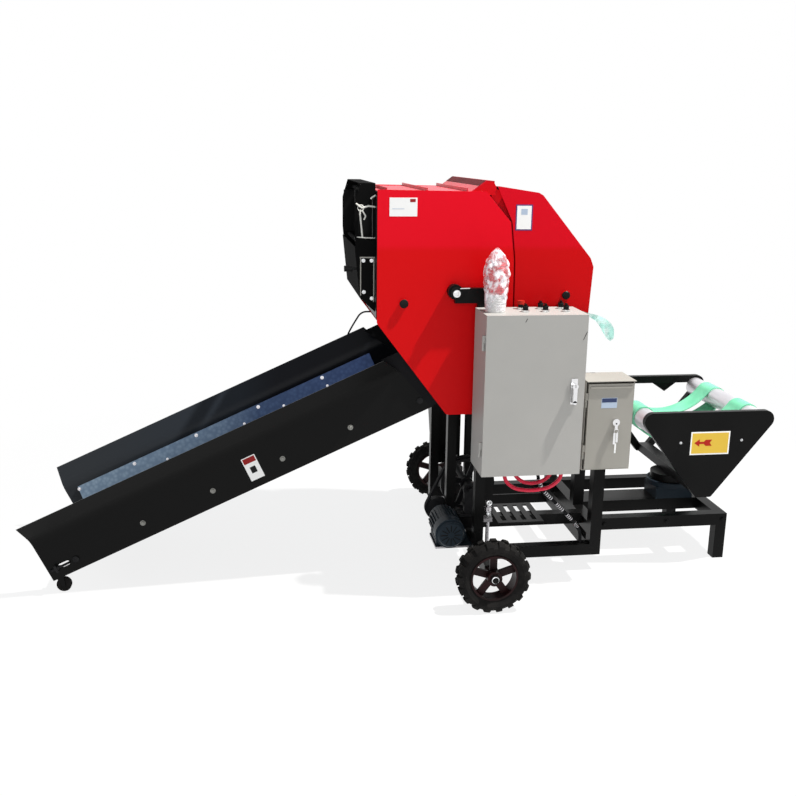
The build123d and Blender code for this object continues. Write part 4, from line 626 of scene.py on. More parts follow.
# %% [markdown]
# Sheet pieces are cut to an outline. A face is laid on the outline's corners and extruded by the sheet's
# thickness, which gives the rim and the second face at once. The extrusion makes them in no fixed order, so
# they are sorted along a slanting direction, and the mesh is the same each time. A shape then becomes a
# piece: it gets its material and rides on a body.

# %% Cut sheets and finished pieces
SMOOTH_LIMIT = math.radians(40)
SORTING = Vector((1.0, 7.3, 53.1))


def put_in_order(shape):
    """Sorts what an operator made in no fixed order, so that every run gives the same mesh."""
    shape.verts.sort(key=lambda vert: SORTING.dot(vert.co))
    shape.faces.sort(key=lambda face: SORTING.dot(face.calc_center_median()))


def add_sheet(shape, corners, thickness):
    """A sheet cut to an outline of places; the thickness is a vector."""
    face = shape.faces.new([shape.verts.new(corner) for corner in corners])
    made = bmesh.ops.extrude_face_region(shape, geom=[face])
    lifted = [item for item in made["geom"] if isinstance(item, bmesh.types.BMVert)]
    bmesh.ops.translate(shape, vec=thickness, verts=lifted)
    bmesh.ops.recalc_face_normals(shape, faces=shape.faces)
    put_in_order(shape)


def finish_piece(name, shape, finish, body, smooth=False):
    """Turns a shape into a piece that has the given finish and rides on a body."""
    mesh = bpy.data.meshes.new(name)
    shape.to_mesh(mesh)
    shape.free()
    mesh.materials.append(finish)
    if smooth:
        mesh.shade_smooth()
        mesh.set_sharp_from_angle(angle=SMOOTH_LIMIT)
    piece = bpy.data.objects.new(name, mesh)
    bpy.context.scene.collection.objects.link(piece)
    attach(piece, body)
    print(name, "has", len(mesh.polygons), "faces and rides on", body)


print("faces that meet at less than", round(math.degrees(SMOOTH_LIMIT)), "degrees are smoothed")

# %% [markdown]
# ## Bolts
#
# Bolts come in one pattern: a washer, a hexagonal head and a shallow dimple. A thread would be hidden,
# so there is none. Each is a stack of round steps, given as a table: where a step starts and ends above
# the seat, its radius at either end as a share of the size, and its number of sides. The bolts of the
# conveyor's near side have gone dull. Those of its far strip face up a little, square to the strip.

# %% Bolts on the conveyor
NEAR = Vector((0.0, -1.0, 0.0))
BOLT_STEPS = ((0.0, 1.5, 0.75, 0.75, 24), (1.5, 6.5, 0.5, 0.5, 6), (6.5, 7.5, 0.38, 0.3, 12))
SIDE_PLATE_Y = 333
STRIP_LEAN = math.atan2(22, 68)


def add_stack(shape, seat, outward, size, steps):
    """Round steps on a seat, from a table of feet, tops, shares of the size and sides."""
    for foot, top, wide, narrow, sides in steps:
        start = seat + outward * (foot * mm)
        end = seat + outward * (top * mm)
        add_rod(shape, start, end, size * wide, sides=sides, end_radius=size * narrow)


def add_bolt(shape, seat, outward, size):
    """A hexagon bolt on a washer: size is across the head's corners."""
    add_stack(shape, seat, outward.normalized(), size, BOLT_STEPS)


shape = bmesh.new()
for along in (-1244, -929, -614.5, -307):
    add_bolt(shape, on_conveyor(along, -SIDE_PLATE_Y, 20), NEAR, 15 * mm)
finish_piece("conveyor_plate_bolts", shape, DULL, "conveyor")

strip_out = CONVEYOR_TILT.to_3x3() @ Vector((0.0, -math.cos(STRIP_LEAN), math.sin(STRIP_LEAN)))
shape = bmesh.new()
for along in (-1617, -1331, -1010, -687, -353):
    add_bolt(shape, on_conveyor(along, 325, 105), strip_out, 11 * mm)
for along in (-1180, -780, -574, -346):
    add_bolt(shape, on_conveyor(along, 310, 62), strip_out, 8 * mm)
finish_piece("conveyor_strip_bolts", shape, STEEL, "conveyor")

# %% [markdown]
# The table's cover plate is held by two small plated bolts. Its base has three larger ones along the
# near rail, painted over with the frame. One bolt could be modelled and copied, but a row of bolts that
# never part is simpler as one piece.

# %% Bolts on the table and its base
TABLE_PLATE_Y = -357
BASE_RAIL_Y = -285
shape = bmesh.new()
for x, z in ((893, 581), (1172, 586)):
    add_bolt(shape, at(x, TABLE_PLATE_Y, z), NEAR, 8 * mm)
finish_piece("table_bolts", shape, BRIGHT, "wrapping_table")
shape = bmesh.new()
for x in (600, 893, 1160):
    add_bolt(shape, at(x, BASE_RAIL_Y, 188), NEAR, 18 * mm)
finish_piece("wrapping_base_bolts", shape, BLACK, "chassis")

# %% [markdown]
# ## Caps and the arm's pivot
#
# Black plastic caps close the ends of two roller shafts. The shafts stand on a ring round the chamber's
# middle, so a cap's place comes from its angle on that ring. A sphere would bulge too far for such a
# cap: a stack of three flat steps, each narrower, gives its low dome.

# %% Caps on the covers
CHAMBER_X = 7.0
CHAMBER_Z = 1205.0
ROLLER_RING = 335.0
CAP_SEAT_Y = -354
CAP_STEPS = ((0.0, 4.0, 1.0, 1.0, 28), (4.0, 7.0, 1.0, 0.8, 28), (7.0, 8.5, 0.8, 0.4, 28))


def add_cap(shape, angle, radius):
    """A low domed cap over the end of a roller's shaft, by the shaft's angle round the chamber."""
    turn = math.radians(angle)
    seat = at(CHAMBER_X + ROLLER_RING * math.cos(turn), CAP_SEAT_Y, CHAMBER_Z + ROLLER_RING * math.sin(turn))
    add_stack(shape, seat, NEAR, radius, CAP_STEPS)


shape = bmesh.new()
add_cap(shape, 181, 18 * mm)
finish_piece("front_boss_cap", shape, PLASTIC, "chassis", True)
shape = bmesh.new()
add_cap(shape, 4, 17 * mm)
finish_piece("tailgate_boss_cap", shape, PLASTIC, "tailgate", True)

# %% [markdown]
# The arm that carries the large cabinet starts at a heavier boss. The boss has a black face, a plated
# bolt a little off its middle and a bent wire beside it. A painted face would do, but a raised one has
# its own small shadow. The conveyor's two drum shafts end in plain round caps.

# %% The arm's pivot and the drum shafts
PIVOT_Y = -382
PIVOT_FACE_Y = -392
WIRE_X = -106
WIRE_TOP = 1262
shape = bmesh.new()
add_rod(shape, at(-124, PIVOT_Y, 1248), at(-124, PIVOT_FACE_Y, 1248), 22 * mm, sides=28)
finish_piece("arm_pivot_face", shape, PLASTIC, "chassis", True)
shape = bmesh.new()
add_bolt(shape, at(-121, PIVOT_FACE_Y, 1243), NEAR, 20 * mm)
add_rod(shape, at(WIRE_X, PIVOT_Y, 1236), at(WIRE_X, PIVOT_Y, WIRE_TOP), 2.5 * mm, sides=10)
add_rod(shape, at(WIRE_X, PIVOT_Y, WIRE_TOP), at(-66, PIVOT_Y + 2, WIRE_TOP + 1), 2.5 * mm, sides=10)
finish_piece("arm_pivot_bolt", shape, CHROME, "chassis")

TAIL_SHAFT = -1555
shape = bmesh.new()
for along in (0, TAIL_SHAFT):
    add_rod(shape, on_conveyor(along, -335, 0), on_conveyor(along, -338, 0), 13 * mm, sides=24)
finish_piece("drum_shaft_caps", shape, CAST, "conveyor", True)

# %% [markdown]
# ## Rubber flaps at the body's mouth
#
# Where the conveyor enters the body, a rubber flap on each side closes the corner between them. The
# flaps hang from the conveyor's sides, so they ride on the conveyor. Rubber this stiff hangs flat: a cut
# sheet is enough.

# %% Mouth flaps
FLAP_EDGE = ((30, -42), (92, -42), (50, 136), (30, 226), (-78, 226), (-25, 140))
FLAP_THICKNESS = 1.5
for side, face_y in (("near", -SIDE_PLATE_Y - FLAP_THICKNESS), ("far", SIDE_PLATE_Y)):
    shape = bmesh.new()
    corners = [on_conveyor(along, face_y, above) for along, above in FLAP_EDGE]
    add_sheet(shape, corners, Vector((0.0, FLAP_THICKNESS * mm, 0.0)))
    finish_piece("mouth_flap_" + side, shape, RUBBER, "conveyor")

# %% [markdown]
# ## Labels
#
# The labels keep their places, sizes and colours, and stay blank. They could be pictures on the covers,
# but then every cover would need its own picture. Each is a plate half a millimetre thick instead, with
# its border and colour fields laid on it as thinner plates.

# %% Labels on the body
PLATE = 0.5
PRINT = 0.3
COVER_Y = -348.0


def near_plate(name, finish, body, x_range, z_range, y, thickness=PRINT):
    """A thin plate that faces the near side."""
    shape = bmesh.new()
    add_block(shape, at(x_range[0], y - thickness, z_range[0]), at(x_range[1], y, z_range[1]))
    finish_piece(name, shape, finish, body)


near_plate("body_label", WHITE, "chassis", (-389, -279), (1543, 1615), COVER_Y, PLATE)
near_plate("body_label_mark", DARK_RED, "chassis", (-308, -286), (1598, 1610), COVER_Y - PLATE)
near_plate("body_label_lines", PALE_BLUE, "chassis", (-378, -330), (1571, 1573), COVER_Y - PLATE)
near_plate("tailgate_label_border", VIOLET, "tailgate", (118, 187), (1489, 1591), COVER_Y, PLATE)
near_plate("tailgate_label", WHITE, "tailgate", (123, 182), (1494, 1586), COVER_Y - PLATE)
near_plate("tailgate_label_mark", PALE_BLUE, "tailgate", (140, 166), (1551, 1574), COVER_Y - PLATE - PRINT)

# %% [markdown]
# The conveyor's label lies along the slope. It could be turned as an object, but then it would have its
# own place and turn to keep. It is built level, like the conveyor itself, and the same matrix tilts it.

# %% Label on the conveyor
def slope_plate(name, finish, along_range, above_range, across, thickness=PRINT):
    """A thin plate on the near side of the conveyor."""
    shape = bmesh.new()
    low = Vector((along_range[0], across - thickness, above_range[0])) * mm
    high = Vector((along_range[1], across, above_range[1])) * mm
    add_block(shape, low, high, CONVEYOR_TILT)
    finish_piece(name, shape, finish, "conveyor")


slope_plate("conveyor_label", WHITE, (-770, -710), (-14, 90), -SIDE_PLATE_Y, PLATE)
slope_plate("conveyor_label_top", DARK_RED, (-766, -714), (62, 86), -SIDE_PLATE_Y - PLATE)
slope_plate("conveyor_label_mark", CAST, (-752, -728), (16, 44), -SIDE_PLATE_Y - PLATE)

# %% [markdown]
# The yellow plate on the table shows which way it turns. Half of the arrow's outline is drawn, from its
# tip to the notch in its tail, and mirrored about the middle line, so that both halves agree. The whole
# arrow is one sheet: separate blocks would overlap and flicker.

# %% Plates on the table and the small door
ARROW_MIDDLE = 578
ARROW_EDGE = ((955, 0), (979, 17), (979, 5), (998, 5), (1008, 14), (1036, 14), (1026, 0))
SMALL_DOOR_Y = -513.0
near_plate("table_label_border", WHITE, "wrapping_table", (938, 1117), (524, 628), TABLE_PLATE_Y, PLATE)
near_plate("table_label", YELLOW, "wrapping_table", (944, 1111), (530, 622), TABLE_PLATE_Y - PLATE)
shape = bmesh.new()
mirrored = [(x, -rise) for x, rise in reversed(ARROW_EDGE[1:-1])]
arrow_y = TABLE_PLATE_Y - PLATE - PRINT
add_sheet(shape, [at(x, arrow_y, ARROW_MIDDLE + rise) for x, rise in [*ARROW_EDGE, *mirrored]],
          NEAR * PRINT * mm)
finish_piece("table_label_arrow", shape, ARROW_RED, "wrapping_table")
near_plate("small_door_plate", PALE_BLUE, "small_cabinet_door", (464, 530), (789, 832), SMALL_DOOR_Y, PLATE)
near_plate("small_door_plate_top", NAVY, "small_cabinet_door", (466, 528), (813, 830), SMALL_DOOR_Y - PLATE)

# %% [markdown]
# ## Cabinets
#
# The large door is closed by a plated swing lever on a long plate, and it has two deep scratches. The
# scratches could be cut into the door, but they are a millimetre wide: two dark wires, half sunk into
# the sheet, look the same.

# %% Lever and scratches of the large door
DOOR_Y = -581.0
LEVER_X = 321
shape = bmesh.new()
add_block(shape, at(LEVER_X - 13, DOOR_Y - 5, 828), at(LEVER_X + 13, DOOR_Y - 3, 932))
add_rod(shape, at(LEVER_X, DOOR_Y - 3, 903), at(LEVER_X, DOOR_Y - 21, 903), 12 * mm, sides=28)
add_block(shape, at(LEVER_X - 8, DOOR_Y - 23, 838), at(LEVER_X + 8, DOOR_Y - 16, 908))
add_rod(shape, at(LEVER_X, DOOR_Y - 23, 838), at(LEVER_X, DOOR_Y - 16, 838), 8 * mm, sides=24)
finish_piece("door_lever", shape, CHROME, "cabinet_door")
shape = bmesh.new()
add_block(shape, at(LEVER_X - 1, DOOR_Y - 23.6, 899), at(LEVER_X + 1, DOOR_Y - 21, 909))
finish_piece("door_key_slot", shape, PLASTIC, "cabinet_door")
shape = bmesh.new()
for (x, z), (end_x, end_z) in (((113, 1158), (120, 1172)), ((348, 1086), (362, 1118))):
    add_rod(shape, at(x, DOOR_Y, z), at(end_x, DOOR_Y, end_z), 1.2 * mm, sides=6)
finish_piece("door_scratches", shape, CAST, "cabinet_door")

# %% [markdown]
# The small door has a round lock. Its lever lies over the lock, and two keys and a white tag hang from
# it on a wire ring. The keys could be cut to shape, but they are nine millimetres wide: plain blocks
# read as keys. A lip along the top of the door catches the light under the cabinet's roof.

# %% Lock, keys and lip of the small door
LOCK_X = 527
KEY_WIDTH = 9
shape = bmesh.new()
add_rod(shape, at(LOCK_X, SMALL_DOOR_Y, 731), at(LOCK_X, SMALL_DOOR_Y - 16, 731), 15 * mm, sides=28)
add_block(shape, at(LOCK_X - 6, SMALL_DOOR_Y - 18, 701), at(LOCK_X + 6, SMALL_DOOR_Y - 14, 742))
add_ring(shape, at(LOCK_X, SMALL_DOOR_Y - 20, 696), Vector((0.4, -1.0, 0.0)), 11 * mm, 1.0 * mm, sides=18)
for left, low in ((516, 640), (527, 648)):
    add_block(shape, at(left, SMALL_DOOR_Y - 20, low), at(left + KEY_WIDTH, SMALL_DOOR_Y - 18, 688))
finish_piece("small_lock_keys", shape, CHROME, "small_cabinet_door")
shape = bmesh.new()
add_block(shape, at(LOCK_X - 3, SMALL_DOOR_Y - 18.6, 724), at(LOCK_X + 3, SMALL_DOOR_Y - 18, 730))
finish_piece("small_lock_slot", shape, PLASTIC, "small_cabinet_door")
shape = bmesh.new()
add_block(shape, at(LOCK_X - 3, SMALL_DOOR_Y - 19.5, 602), at(LOCK_X + 4, SMALL_DOOR_Y - 18.5, 644))
finish_piece("key_tag", shape, WHITE, "small_cabinet_door")
shape = bmesh.new()
add_block(shape, at(414, SMALL_DOOR_Y - 5, 872), at(590, SMALL_DOOR_Y, 878))
finish_piece("small_door_lip", shape, SMALL_GREY, "small_cabinet_door")

# %% [markdown]
# Six switches stand on the large cabinet in two rows, each with a bright collar. Five have black heads
# with a grip across the top, and the first one in the far row is a red push button. The heads of one
# colour are one piece, because none of them has a joint.

# %% Switch heads
SWITCH_XS = (134, 215, 299)
SWITCH_YS = (-495, -425)
BUTTON_X = SWITCH_XS[0]
BUTTON_Y = SWITCH_YS[1]
COLLAR_FOOT = 1186
COLLAR_TOP = 1192.5
SWITCH_TOP = 1205.0
black_heads = bmesh.new()
bright_collars = bmesh.new()
for x in SWITCH_XS:
    for y in SWITCH_YS:
        add_rod(bright_collars, at(x, y, COLLAR_FOOT), at(x, y, COLLAR_TOP), 16 * mm, sides=28)
        if (x, y) != (BUTTON_X, BUTTON_Y):
            add_rod(black_heads, at(x, y, SWITCH_TOP), at(x, y, SWITCH_TOP + 4), 13 * mm, sides=28,
                    end_radius=11 * mm)
            add_block(black_heads, at(x - 3, y - 11, SWITCH_TOP + 4), at(x + 3, y + 11, SWITCH_TOP + 12))
finish_piece("switch_heads", black_heads, PLASTIC, "chassis")
finish_piece("switch_collars", bright_collars, BRIGHT, "chassis", True)
shape = bmesh.new()
button_foot = at(BUTTON_X, BUTTON_Y, SWITCH_TOP)
add_rod(shape, button_foot, at(BUTTON_X, BUTTON_Y, SWITCH_TOP + 14), 16 * mm, sides=28, end_radius=14 * mm)
finish_piece("red_switch_head", shape, ARROW_RED, "chassis", True)

# %% [markdown]
# ## The bagged lamp
#
# The lamp on the large cabinet still wears the clear bag it came in, pulled down over it and gathered to
# a peak. A cloth simulation could drape it, but film this light keeps whatever crumples it was given.
# So the bag is shaped in two steps: first a smooth profile, then the crumples.

# %% The bag's profile
LAMP_X = 16
LAMP_Y = -480
BAG_STEP = 5.0
BAG_PROFILE = ((1194, 42), (1240, 44), (1284, 49), (1328, 52), (1350, 51), (1370, 47), (1388, 40), (1404, 31),
               (1418, 20), (1428, 11), (1434, 3))


def bag_radius(z):
    """The bag's mean radius at a height, along its profile."""
    for (low, first), (high, last) in zip(BAG_PROFILE, BAG_PROFILE[1:]):
        if z <= high:
            return first + (last - first) * (z - low) / (high - low)
    return BAG_PROFILE[-1][1]


BAG_LEVELS = int((BAG_PROFILE[-1][0] - BAG_PROFILE[0][0]) / BAG_STEP)
BAG_HEIGHTS = [BAG_PROFILE[0][0] + level * BAG_STEP for level in range(BAG_LEVELS + 1)]
print("the bag is built in", BAG_LEVELS, "steps of", BAG_STEP, "mm")

# %% [markdown]
# Two patterns crumple the bag. The borders between irregular cells give its sharp folds, and a soft
# noise gives its waves. Both fade where the bag narrows to its peak. They are in millimetres, and no
# place may come closer to the axis than the lamp inside it.

# %% The bag's crumples
PATTERN_ROUND = 1.5
PATTERN_HEIGHT = 52.0
CELL_SCALE = 1.5
CELL_DEPTH = 9.0
CELL_LIMIT = 0.5
CELL_MEAN = 3.0
WAVE_SCALE = 2.6
WAVE_DEPTH = 3.0
FULL_RADIUS = 40.0
PEAK_RADIUS = 2.0
LAMP_RADIUS = 41.5
LAMP_TOP = 1380


def crumpled_radius(angle, z):
    """The bag's radius with its folds and waves, in millimetres."""
    seed = Vector((math.cos(angle) * PATTERN_ROUND, math.sin(angle) * PATTERN_ROUND, z / PATTERN_HEIGHT))
    nearest, second = noise.voronoi(seed * CELL_SCALE)[0][:2]
    fold = CELL_DEPTH * min(CELL_LIMIT, second - nearest) - CELL_MEAN
    wave = WAVE_DEPTH * noise.noise(seed * WAVE_SCALE)
    radius = bag_radius(z)
    reach = max(PEAK_RADIUS, radius + (fold + wave) * min(1.0, radius / FULL_RADIUS))
    return max(reach, LAMP_RADIUS) if z < LAMP_TOP else reach


print("at its foot the bag's radius is", round(crumpled_radius(0.0, BAG_HEIGHTS[0]), 1), "mm")

# %% [markdown]
# The profile is spun about the lamp's axis. Then every vertex moves in or out to the crumpled radius of
# its side and level, and the topmost ones are closed with a face. The finished skin is one sheet: a
# second one inside it would double the work of the renderer and show nothing more.

# %% Film bag
BAG_SIDES = 72


def film_bag():
    """The bag's profile spun about the lamp, closed at the top and crumpled."""
    shape = bmesh.new()
    line = [shape.verts.new(at(LAMP_X + bag_radius(z), LAMP_Y, z)) for z in BAG_HEIGHTS]
    edges = [shape.edges.new(pair) for pair in zip(line, line[1:])]
    axis = at(LAMP_X, LAMP_Y, 0)
    bmesh.ops.spin(shape, geom=line + edges, cent=axis, axis=Vector((0.0, 0.0, 1.0)), angle=2 * math.pi,
                   steps=BAG_SIDES, use_merge=True)
    rim = {}
    for vert in shape.verts:
        from_axis = vert.co - axis
        side = round(math.atan2(from_axis.y, from_axis.x) / (2 * math.pi) * BAG_SIDES) % BAG_SIDES
        level = round((from_axis.z / mm - BAG_HEIGHTS[0]) / BAG_STEP)
        angle = 2 * math.pi * side / BAG_SIDES
        reach = crumpled_radius(angle, BAG_HEIGHTS[level])
        vert.co = at(LAMP_X + reach * math.cos(angle), LAMP_Y + reach * math.sin(angle), BAG_HEIGHTS[level])
        if level == BAG_LEVELS:
            rim[side] = vert
    shape.faces.new([rim[side] for side in range(BAG_SIDES)])
    bmesh.ops.recalc_face_normals(shape, faces=shape.faces)
    put_in_order(shape)
    finish_piece("lamp_film_bag", shape, FILM, "chassis")


film_bag()

# %% [markdown]
# ## Twine feed
#
# The twine runs over guides in the frame at the front of the body. Each run is a row of short round bars,
# which is all that a thin taut string needs, and one loose end is tied in a ring. Two dark sheets behind it
# are painted shade: they darken the inside of the box, so that no daylight shows through its windows.

# %% Twine and the box's shade sheets
TWINE_Y = -300.0
TWINE_RUNS = (
    (((-516, 1590), (-503, 1580), (-490, 1572), (-466, 1580), (-437, 1576)), 3.6),
    (((-498, 1566), (-500, 1553), (-494, 1500), (-490, 1459)), 3.4),
    (((-512, 1459), (-480, 1456), (-437, 1455)), 2.4),
    (((-488, 1448), (-480, 1440), (-437, 1408)), 2.0),
    (((-490, 1562), (-477, 1541), (-484, 1526)), 3.0),
    (((-458, 1607), (-450, 1615), (-437, 1622)), 3.6),
)
shape = bmesh.new()
for route, radius in TWINE_RUNS:
    for (x, z), (next_x, next_z) in zip(route, route[1:]):
        add_rod(shape, at(x, TWINE_Y + 2, z), at(next_x, TWINE_Y + 2, next_z), radius * mm, sides=10)
add_ring(shape, at(-497, TWINE_Y + 2, 1572), NEAR, 12 * mm, 2.4 * mm, sides=18)
finish_piece("twine_guides", shape, TWINE, "chassis")
shape = bmesh.new()
add_block(shape, at(-511, -206, 1430), at(-441, -203, 1640))
add_block(shape, at(-515, 293, 1438), at(-445, 296.5, 1622))
finish_piece("twine_box_shade_sheets", shape, BLACK, "chassis")

# %% [markdown]
# ## Roof flashing
#
# A bent flashing reaches over the joint between the roof and the tailgate. The imported part is the bent
# sheet alone. A lip under its free edge and a cheek at each end close it, and a strip of painted shade runs
# along its ridge: it is dark where the flashing's edge lies in shadow. The cheeks are cut sheets that lie
# just inside the covers, clear of the tailgate as it lifts.

# %% Lip, cheeks and strip of the flashing
ROOF_HALF_WIDTH = 345
CHEEK_THICKNESS = 1.5
CHEEK_EDGE = ((-62, 1640.5), (-7, 1680), (25, 1677.5), (36, 1658), (36, 1627), (0, 1627), (-12, 1640.5))
FLASHING_SLOPE = math.atan2(44, 61)
STRIP_LENGTH = 34
STRIP_THICKNESS = 0.8
shape = bmesh.new()
add_block(shape, at(25, -ROOF_HALF_WIDTH, 1662.5), at(28, ROOF_HALF_WIDTH, 1679))
finish_piece("flashing_lip", shape, RED, "chassis")
shape = bmesh.new()
for cheek_y in (-344.8, 343.3):
    add_sheet(shape, [at(x, cheek_y, z) for x, z in CHEEK_EDGE], Vector((0.0, CHEEK_THICKNESS * mm, 0.0)))
finish_piece("flashing_cheeks", shape, RED, "chassis")
shape = bmesh.new()
strip_place = Matrix.Translation(at(-20.6, 0, 1673.6)) @ Matrix.Rotation(-FLASHING_SLOPE, 4, "Y")
strip_half = Vector((STRIP_LENGTH, 2 * ROOF_HALF_WIDTH, STRIP_THICKNESS)) * mm / 2
add_block(shape, -strip_half, strip_half, strip_place)
finish_piece("flashing_painted_shade_strip", shape, SHADE_MAROON, "chassis")

# %% [markdown]
# A small inspection plate closes the front of the body below the twine. A grey angle iron frames it on
# three sides, and four plated bolts hold it. The angle's second leg lies against the body, so flat bars
# show all that can be seen of it.

# %% Inspection plate
FRAME_TOP = 1376
shape = bmesh.new()
add_block(shape, at(-500, TWINE_Y - 2, FRAME_TOP), at(-440, TWINE_Y, FRAME_TOP + 5))
add_block(shape, at(-499, TWINE_Y - 2, 1226), at(-495, TWINE_Y, FRAME_TOP))
add_block(shape, at(-446, TWINE_Y - 2, 1200), at(-442, TWINE_Y, FRAME_TOP))
finish_piece("inspection_frame", shape, SMALL_GREY, "chassis")
shape = bmesh.new()
for x, z in ((-486, 1366), (-453, 1366), (-484, 1240), (-452, 1214)):
    add_bolt(shape, at(x, TWINE_Y, z), NEAR, 10 * mm)
finish_piece("inspection_bolts", shape, BRIGHT, "chassis")

# %% [markdown]
# ## Under the cabinets
#
# The levelling screw has an eye to turn it by, a clamp plate and two nuts. The eye is a ring of bars
# rather than a torus, because the same helper already makes the key ring.

# %% Fittings of the levelling screw
JACK_X = 22
shape = bmesh.new()
add_ring(shape, at(JACK_X, -478, 384), NEAR, 9 * mm, 4 * mm, sides=20)
add_block(shape, at(JACK_X - 9, -479, 318), at(JACK_X + 9, -475, 345))
add_bolt(shape, at(JACK_X, -479, 332), NEAR, 14 * mm)
add_rod(shape, at(JACK_X, -460, 175), at(JACK_X, -460, 186), 17 * mm, sides=6)
add_rod(shape, at(JACK_X, -460, 380), at(JACK_X, -460, 386), 13 * mm, sides=6)
finish_piece("jack_fittings", shape, BRIGHT, "chassis")

# %% [markdown]
# A black hose with a steel spring round it runs down behind the cabinet. A true helix of wire would need
# many faces for a thing this thin. Short rings at an even pitch read as a spring, and they leave the
# hose's bends bare, where the real coils open up too.

# %% Rings of the spring hose
SPRING_HOSE = ((240, -420, 470), (266, -418, 410), (324, -408, 352), (380, -394, 293), (424, -376, 245),
               (462, -345, 200))
RING_STEP = 11 * mm
RING_HALF = 2.2 * mm
RING_RADIUS = 8.6 * mm
BARE_SHARE = 0.16
RINGED_SHARE = 0.72
shape = bmesh.new()
for start, end in zip(SPRING_HOSE, SPRING_HOSE[1:]):
    begin = at(*start)
    run = at(*end) - begin
    along = run.normalized()
    for index in range(int(run.length * RINGED_SHARE / RING_STEP)):
        place = begin + along * (run.length * BARE_SHARE + index * RING_STEP)
        add_rod(shape, place - along * RING_HALF, place + along * RING_HALF, RING_RADIUS, sides=16)
finish_piece("spring_hose_rings", shape, STEEL, "chassis", True)

# %% [markdown]
# ## Road wheels
#
# Each axle end is closed by a plated hub cap, which stays with the axle. A spun profile could give its
# chamfer, and one flat cone gives the same. Five small bolts hold the rim between its five spokes, and
# they turn with the wheel, so they ride on the wheel's body.

# %% Hub caps and hub bolts
AXLE_Z = 150
SPOKES = 5
FIRST_BOLT = 54
HUB_BOLT_RING = 23
for side, sign in (("near", -1), ("far", 1)):
    out = Vector((0.0, sign, 0.0))
    cap_face = at(0, sign * 718, AXLE_Z)
    shape = bmesh.new()
    add_rod(shape, cap_face, cap_face + out * (2.5 * mm), 15 * mm, sides=32, end_radius=12 * mm)
    finish_piece("hub_cap_" + side, shape, BRIGHT, "chassis", True)
    shape = bmesh.new()
    for index in range(SPOKES):
        angle = math.radians(FIRST_BOLT + 360 / SPOKES * index)
        seat = at(HUB_BOLT_RING * math.cos(angle), sign * 709, AXLE_Z + HUB_BOLT_RING * math.sin(angle))
        add_rod(shape, seat, seat + out * (3 * mm), 3.2 * mm, sides=6)
    finish_piece("hub_bolts_" + side, shape, CAST, "wheel_" + side)

# %% [markdown]
# ## Drive motor
#
# A shallow cover closes the fan end of the drive motor. It draws its air through twelve slots, which
# stand round its middle like the hours of a clock. Cutting them would leave thin bars to repair: dark
# inlays that stand half a millimetre proud look like openings from any distance.

# %% Fan cover
FAN_MIDDLE = at(-130, -445, 238)
FAN_SLOTS = 12
shape = bmesh.new()
add_rod(shape, FAN_MIDDLE, FAN_MIDDLE + NEAR * (10 * mm), 57 * mm, sides=40, end_radius=50 * mm)
finish_piece("motor_fan_cover", shape, MOTOR, "chassis", True)
shape = bmesh.new()
for index in range(FAN_SLOTS):
    turn = Matrix.Translation(FAN_MIDDLE) @ Matrix.Rotation(2 * math.pi * index / FAN_SLOTS, 4, "Y")
    add_block(shape, Vector((14, -10.6, -2)) * mm, Vector((44, -9.6, 2)) * mm, turn)
finish_piece("motor_fan_slots", shape, PLASTIC, "chassis")

# %% [markdown]
# The motor stands on a slide plate whose edges catch the light. A strip of bright steel along two sides of
# the plate is a painted highlight of that lit edge: a mask in the paint could show it too, but the strip
# gives a cleaner edge. At the conveyor's low end a take-up screw tightens the belt: a threaded bar through a
# lug, with a nut on either side. Its thread is too fine to see, so the bar is plain.

# %% Slide plate's edge and take-up screw
SLIDE_FOOT = 160
SLIDE_TOP = 168
SCREW_Y = -338
shape = bmesh.new()
add_block(shape, at(-186, -407, SLIDE_FOOT), at(-42, -405, SLIDE_TOP))
add_block(shape, at(-187, -405, SLIDE_FOOT), at(-185, -260, SLIDE_TOP))
finish_piece("slide_plate_lit_edge", shape, STEEL, "chassis")
shape = bmesh.new()
add_rod(shape, on_conveyor(-1582, SCREW_Y, 0), on_conveyor(-1668, SCREW_Y, -2), 5 * mm, sides=16)
add_block(shape, Vector((-1646, -350, -16)) * mm, Vector((-1638, -333, 14)) * mm, CONVEYOR_TILT)
add_rod(shape, on_conveyor(-1654, SCREW_Y, -2), on_conveyor(-1646, SCREW_Y, -2), 9 * mm, sides=6)
add_rod(shape, on_conveyor(-1638, SCREW_Y, -1), on_conveyor(-1630, SCREW_Y, -1), 9 * mm, sides=6)
finish_piece("take_up_screw", shape, CAST, "conveyor")

# %% [markdown]
# ## Film strip
#
# A strip of the wrapping film is caught behind the large cabinet and hangs down to the right. It is a
# grid of two by seven cells. Its rows are moved onto the strip's line, and each row is folded a little
# more or less than the last. It stays where it is, so nothing is simulated.

# %% Film strip
STRIP_LINE = ((372, 1166), (404, 1160), (438, 1150), (469, 1138), (495, 1119), (514, 1095), (530, 1072),
              (543, 1050))
STRIP_WIDTHS = (8, 12, 16, 24, 38, 50, 50, 26)
STRIP_COLUMNS = ((0.30, 1.0, 0.40), (0.0, -0.6, 0.0), (-0.30, 0.5, -0.40))
STRIP_Y = -382
FOLD_DEPTH = 9
FOLD_TURN = 2.1


def film_strip():
    """A folded strip from the cabinet's back edge down to the right."""
    shape = bmesh.new()
    rows = len(STRIP_LINE) - 1
    columns = len(STRIP_COLUMNS) - 1
    bmesh.ops.create_grid(shape, x_segments=columns, y_segments=rows, size=1.0)
    for vert in shape.verts:
        row = round((vert.co.y + 1.0) / 2 * rows)
        shift, share, lift = STRIP_COLUMNS[round((vert.co.x + 1.0) / 2 * columns)]
        (x, z), width = STRIP_LINE[row], STRIP_WIDTHS[row]
        fold = FOLD_DEPTH * math.sin(row * FOLD_TURN)
        vert.co = at(x + shift * width, STRIP_Y + share * fold, z + lift * width)
    finish_piece("film_strip", shape, MINT_FILM, "chassis", True)


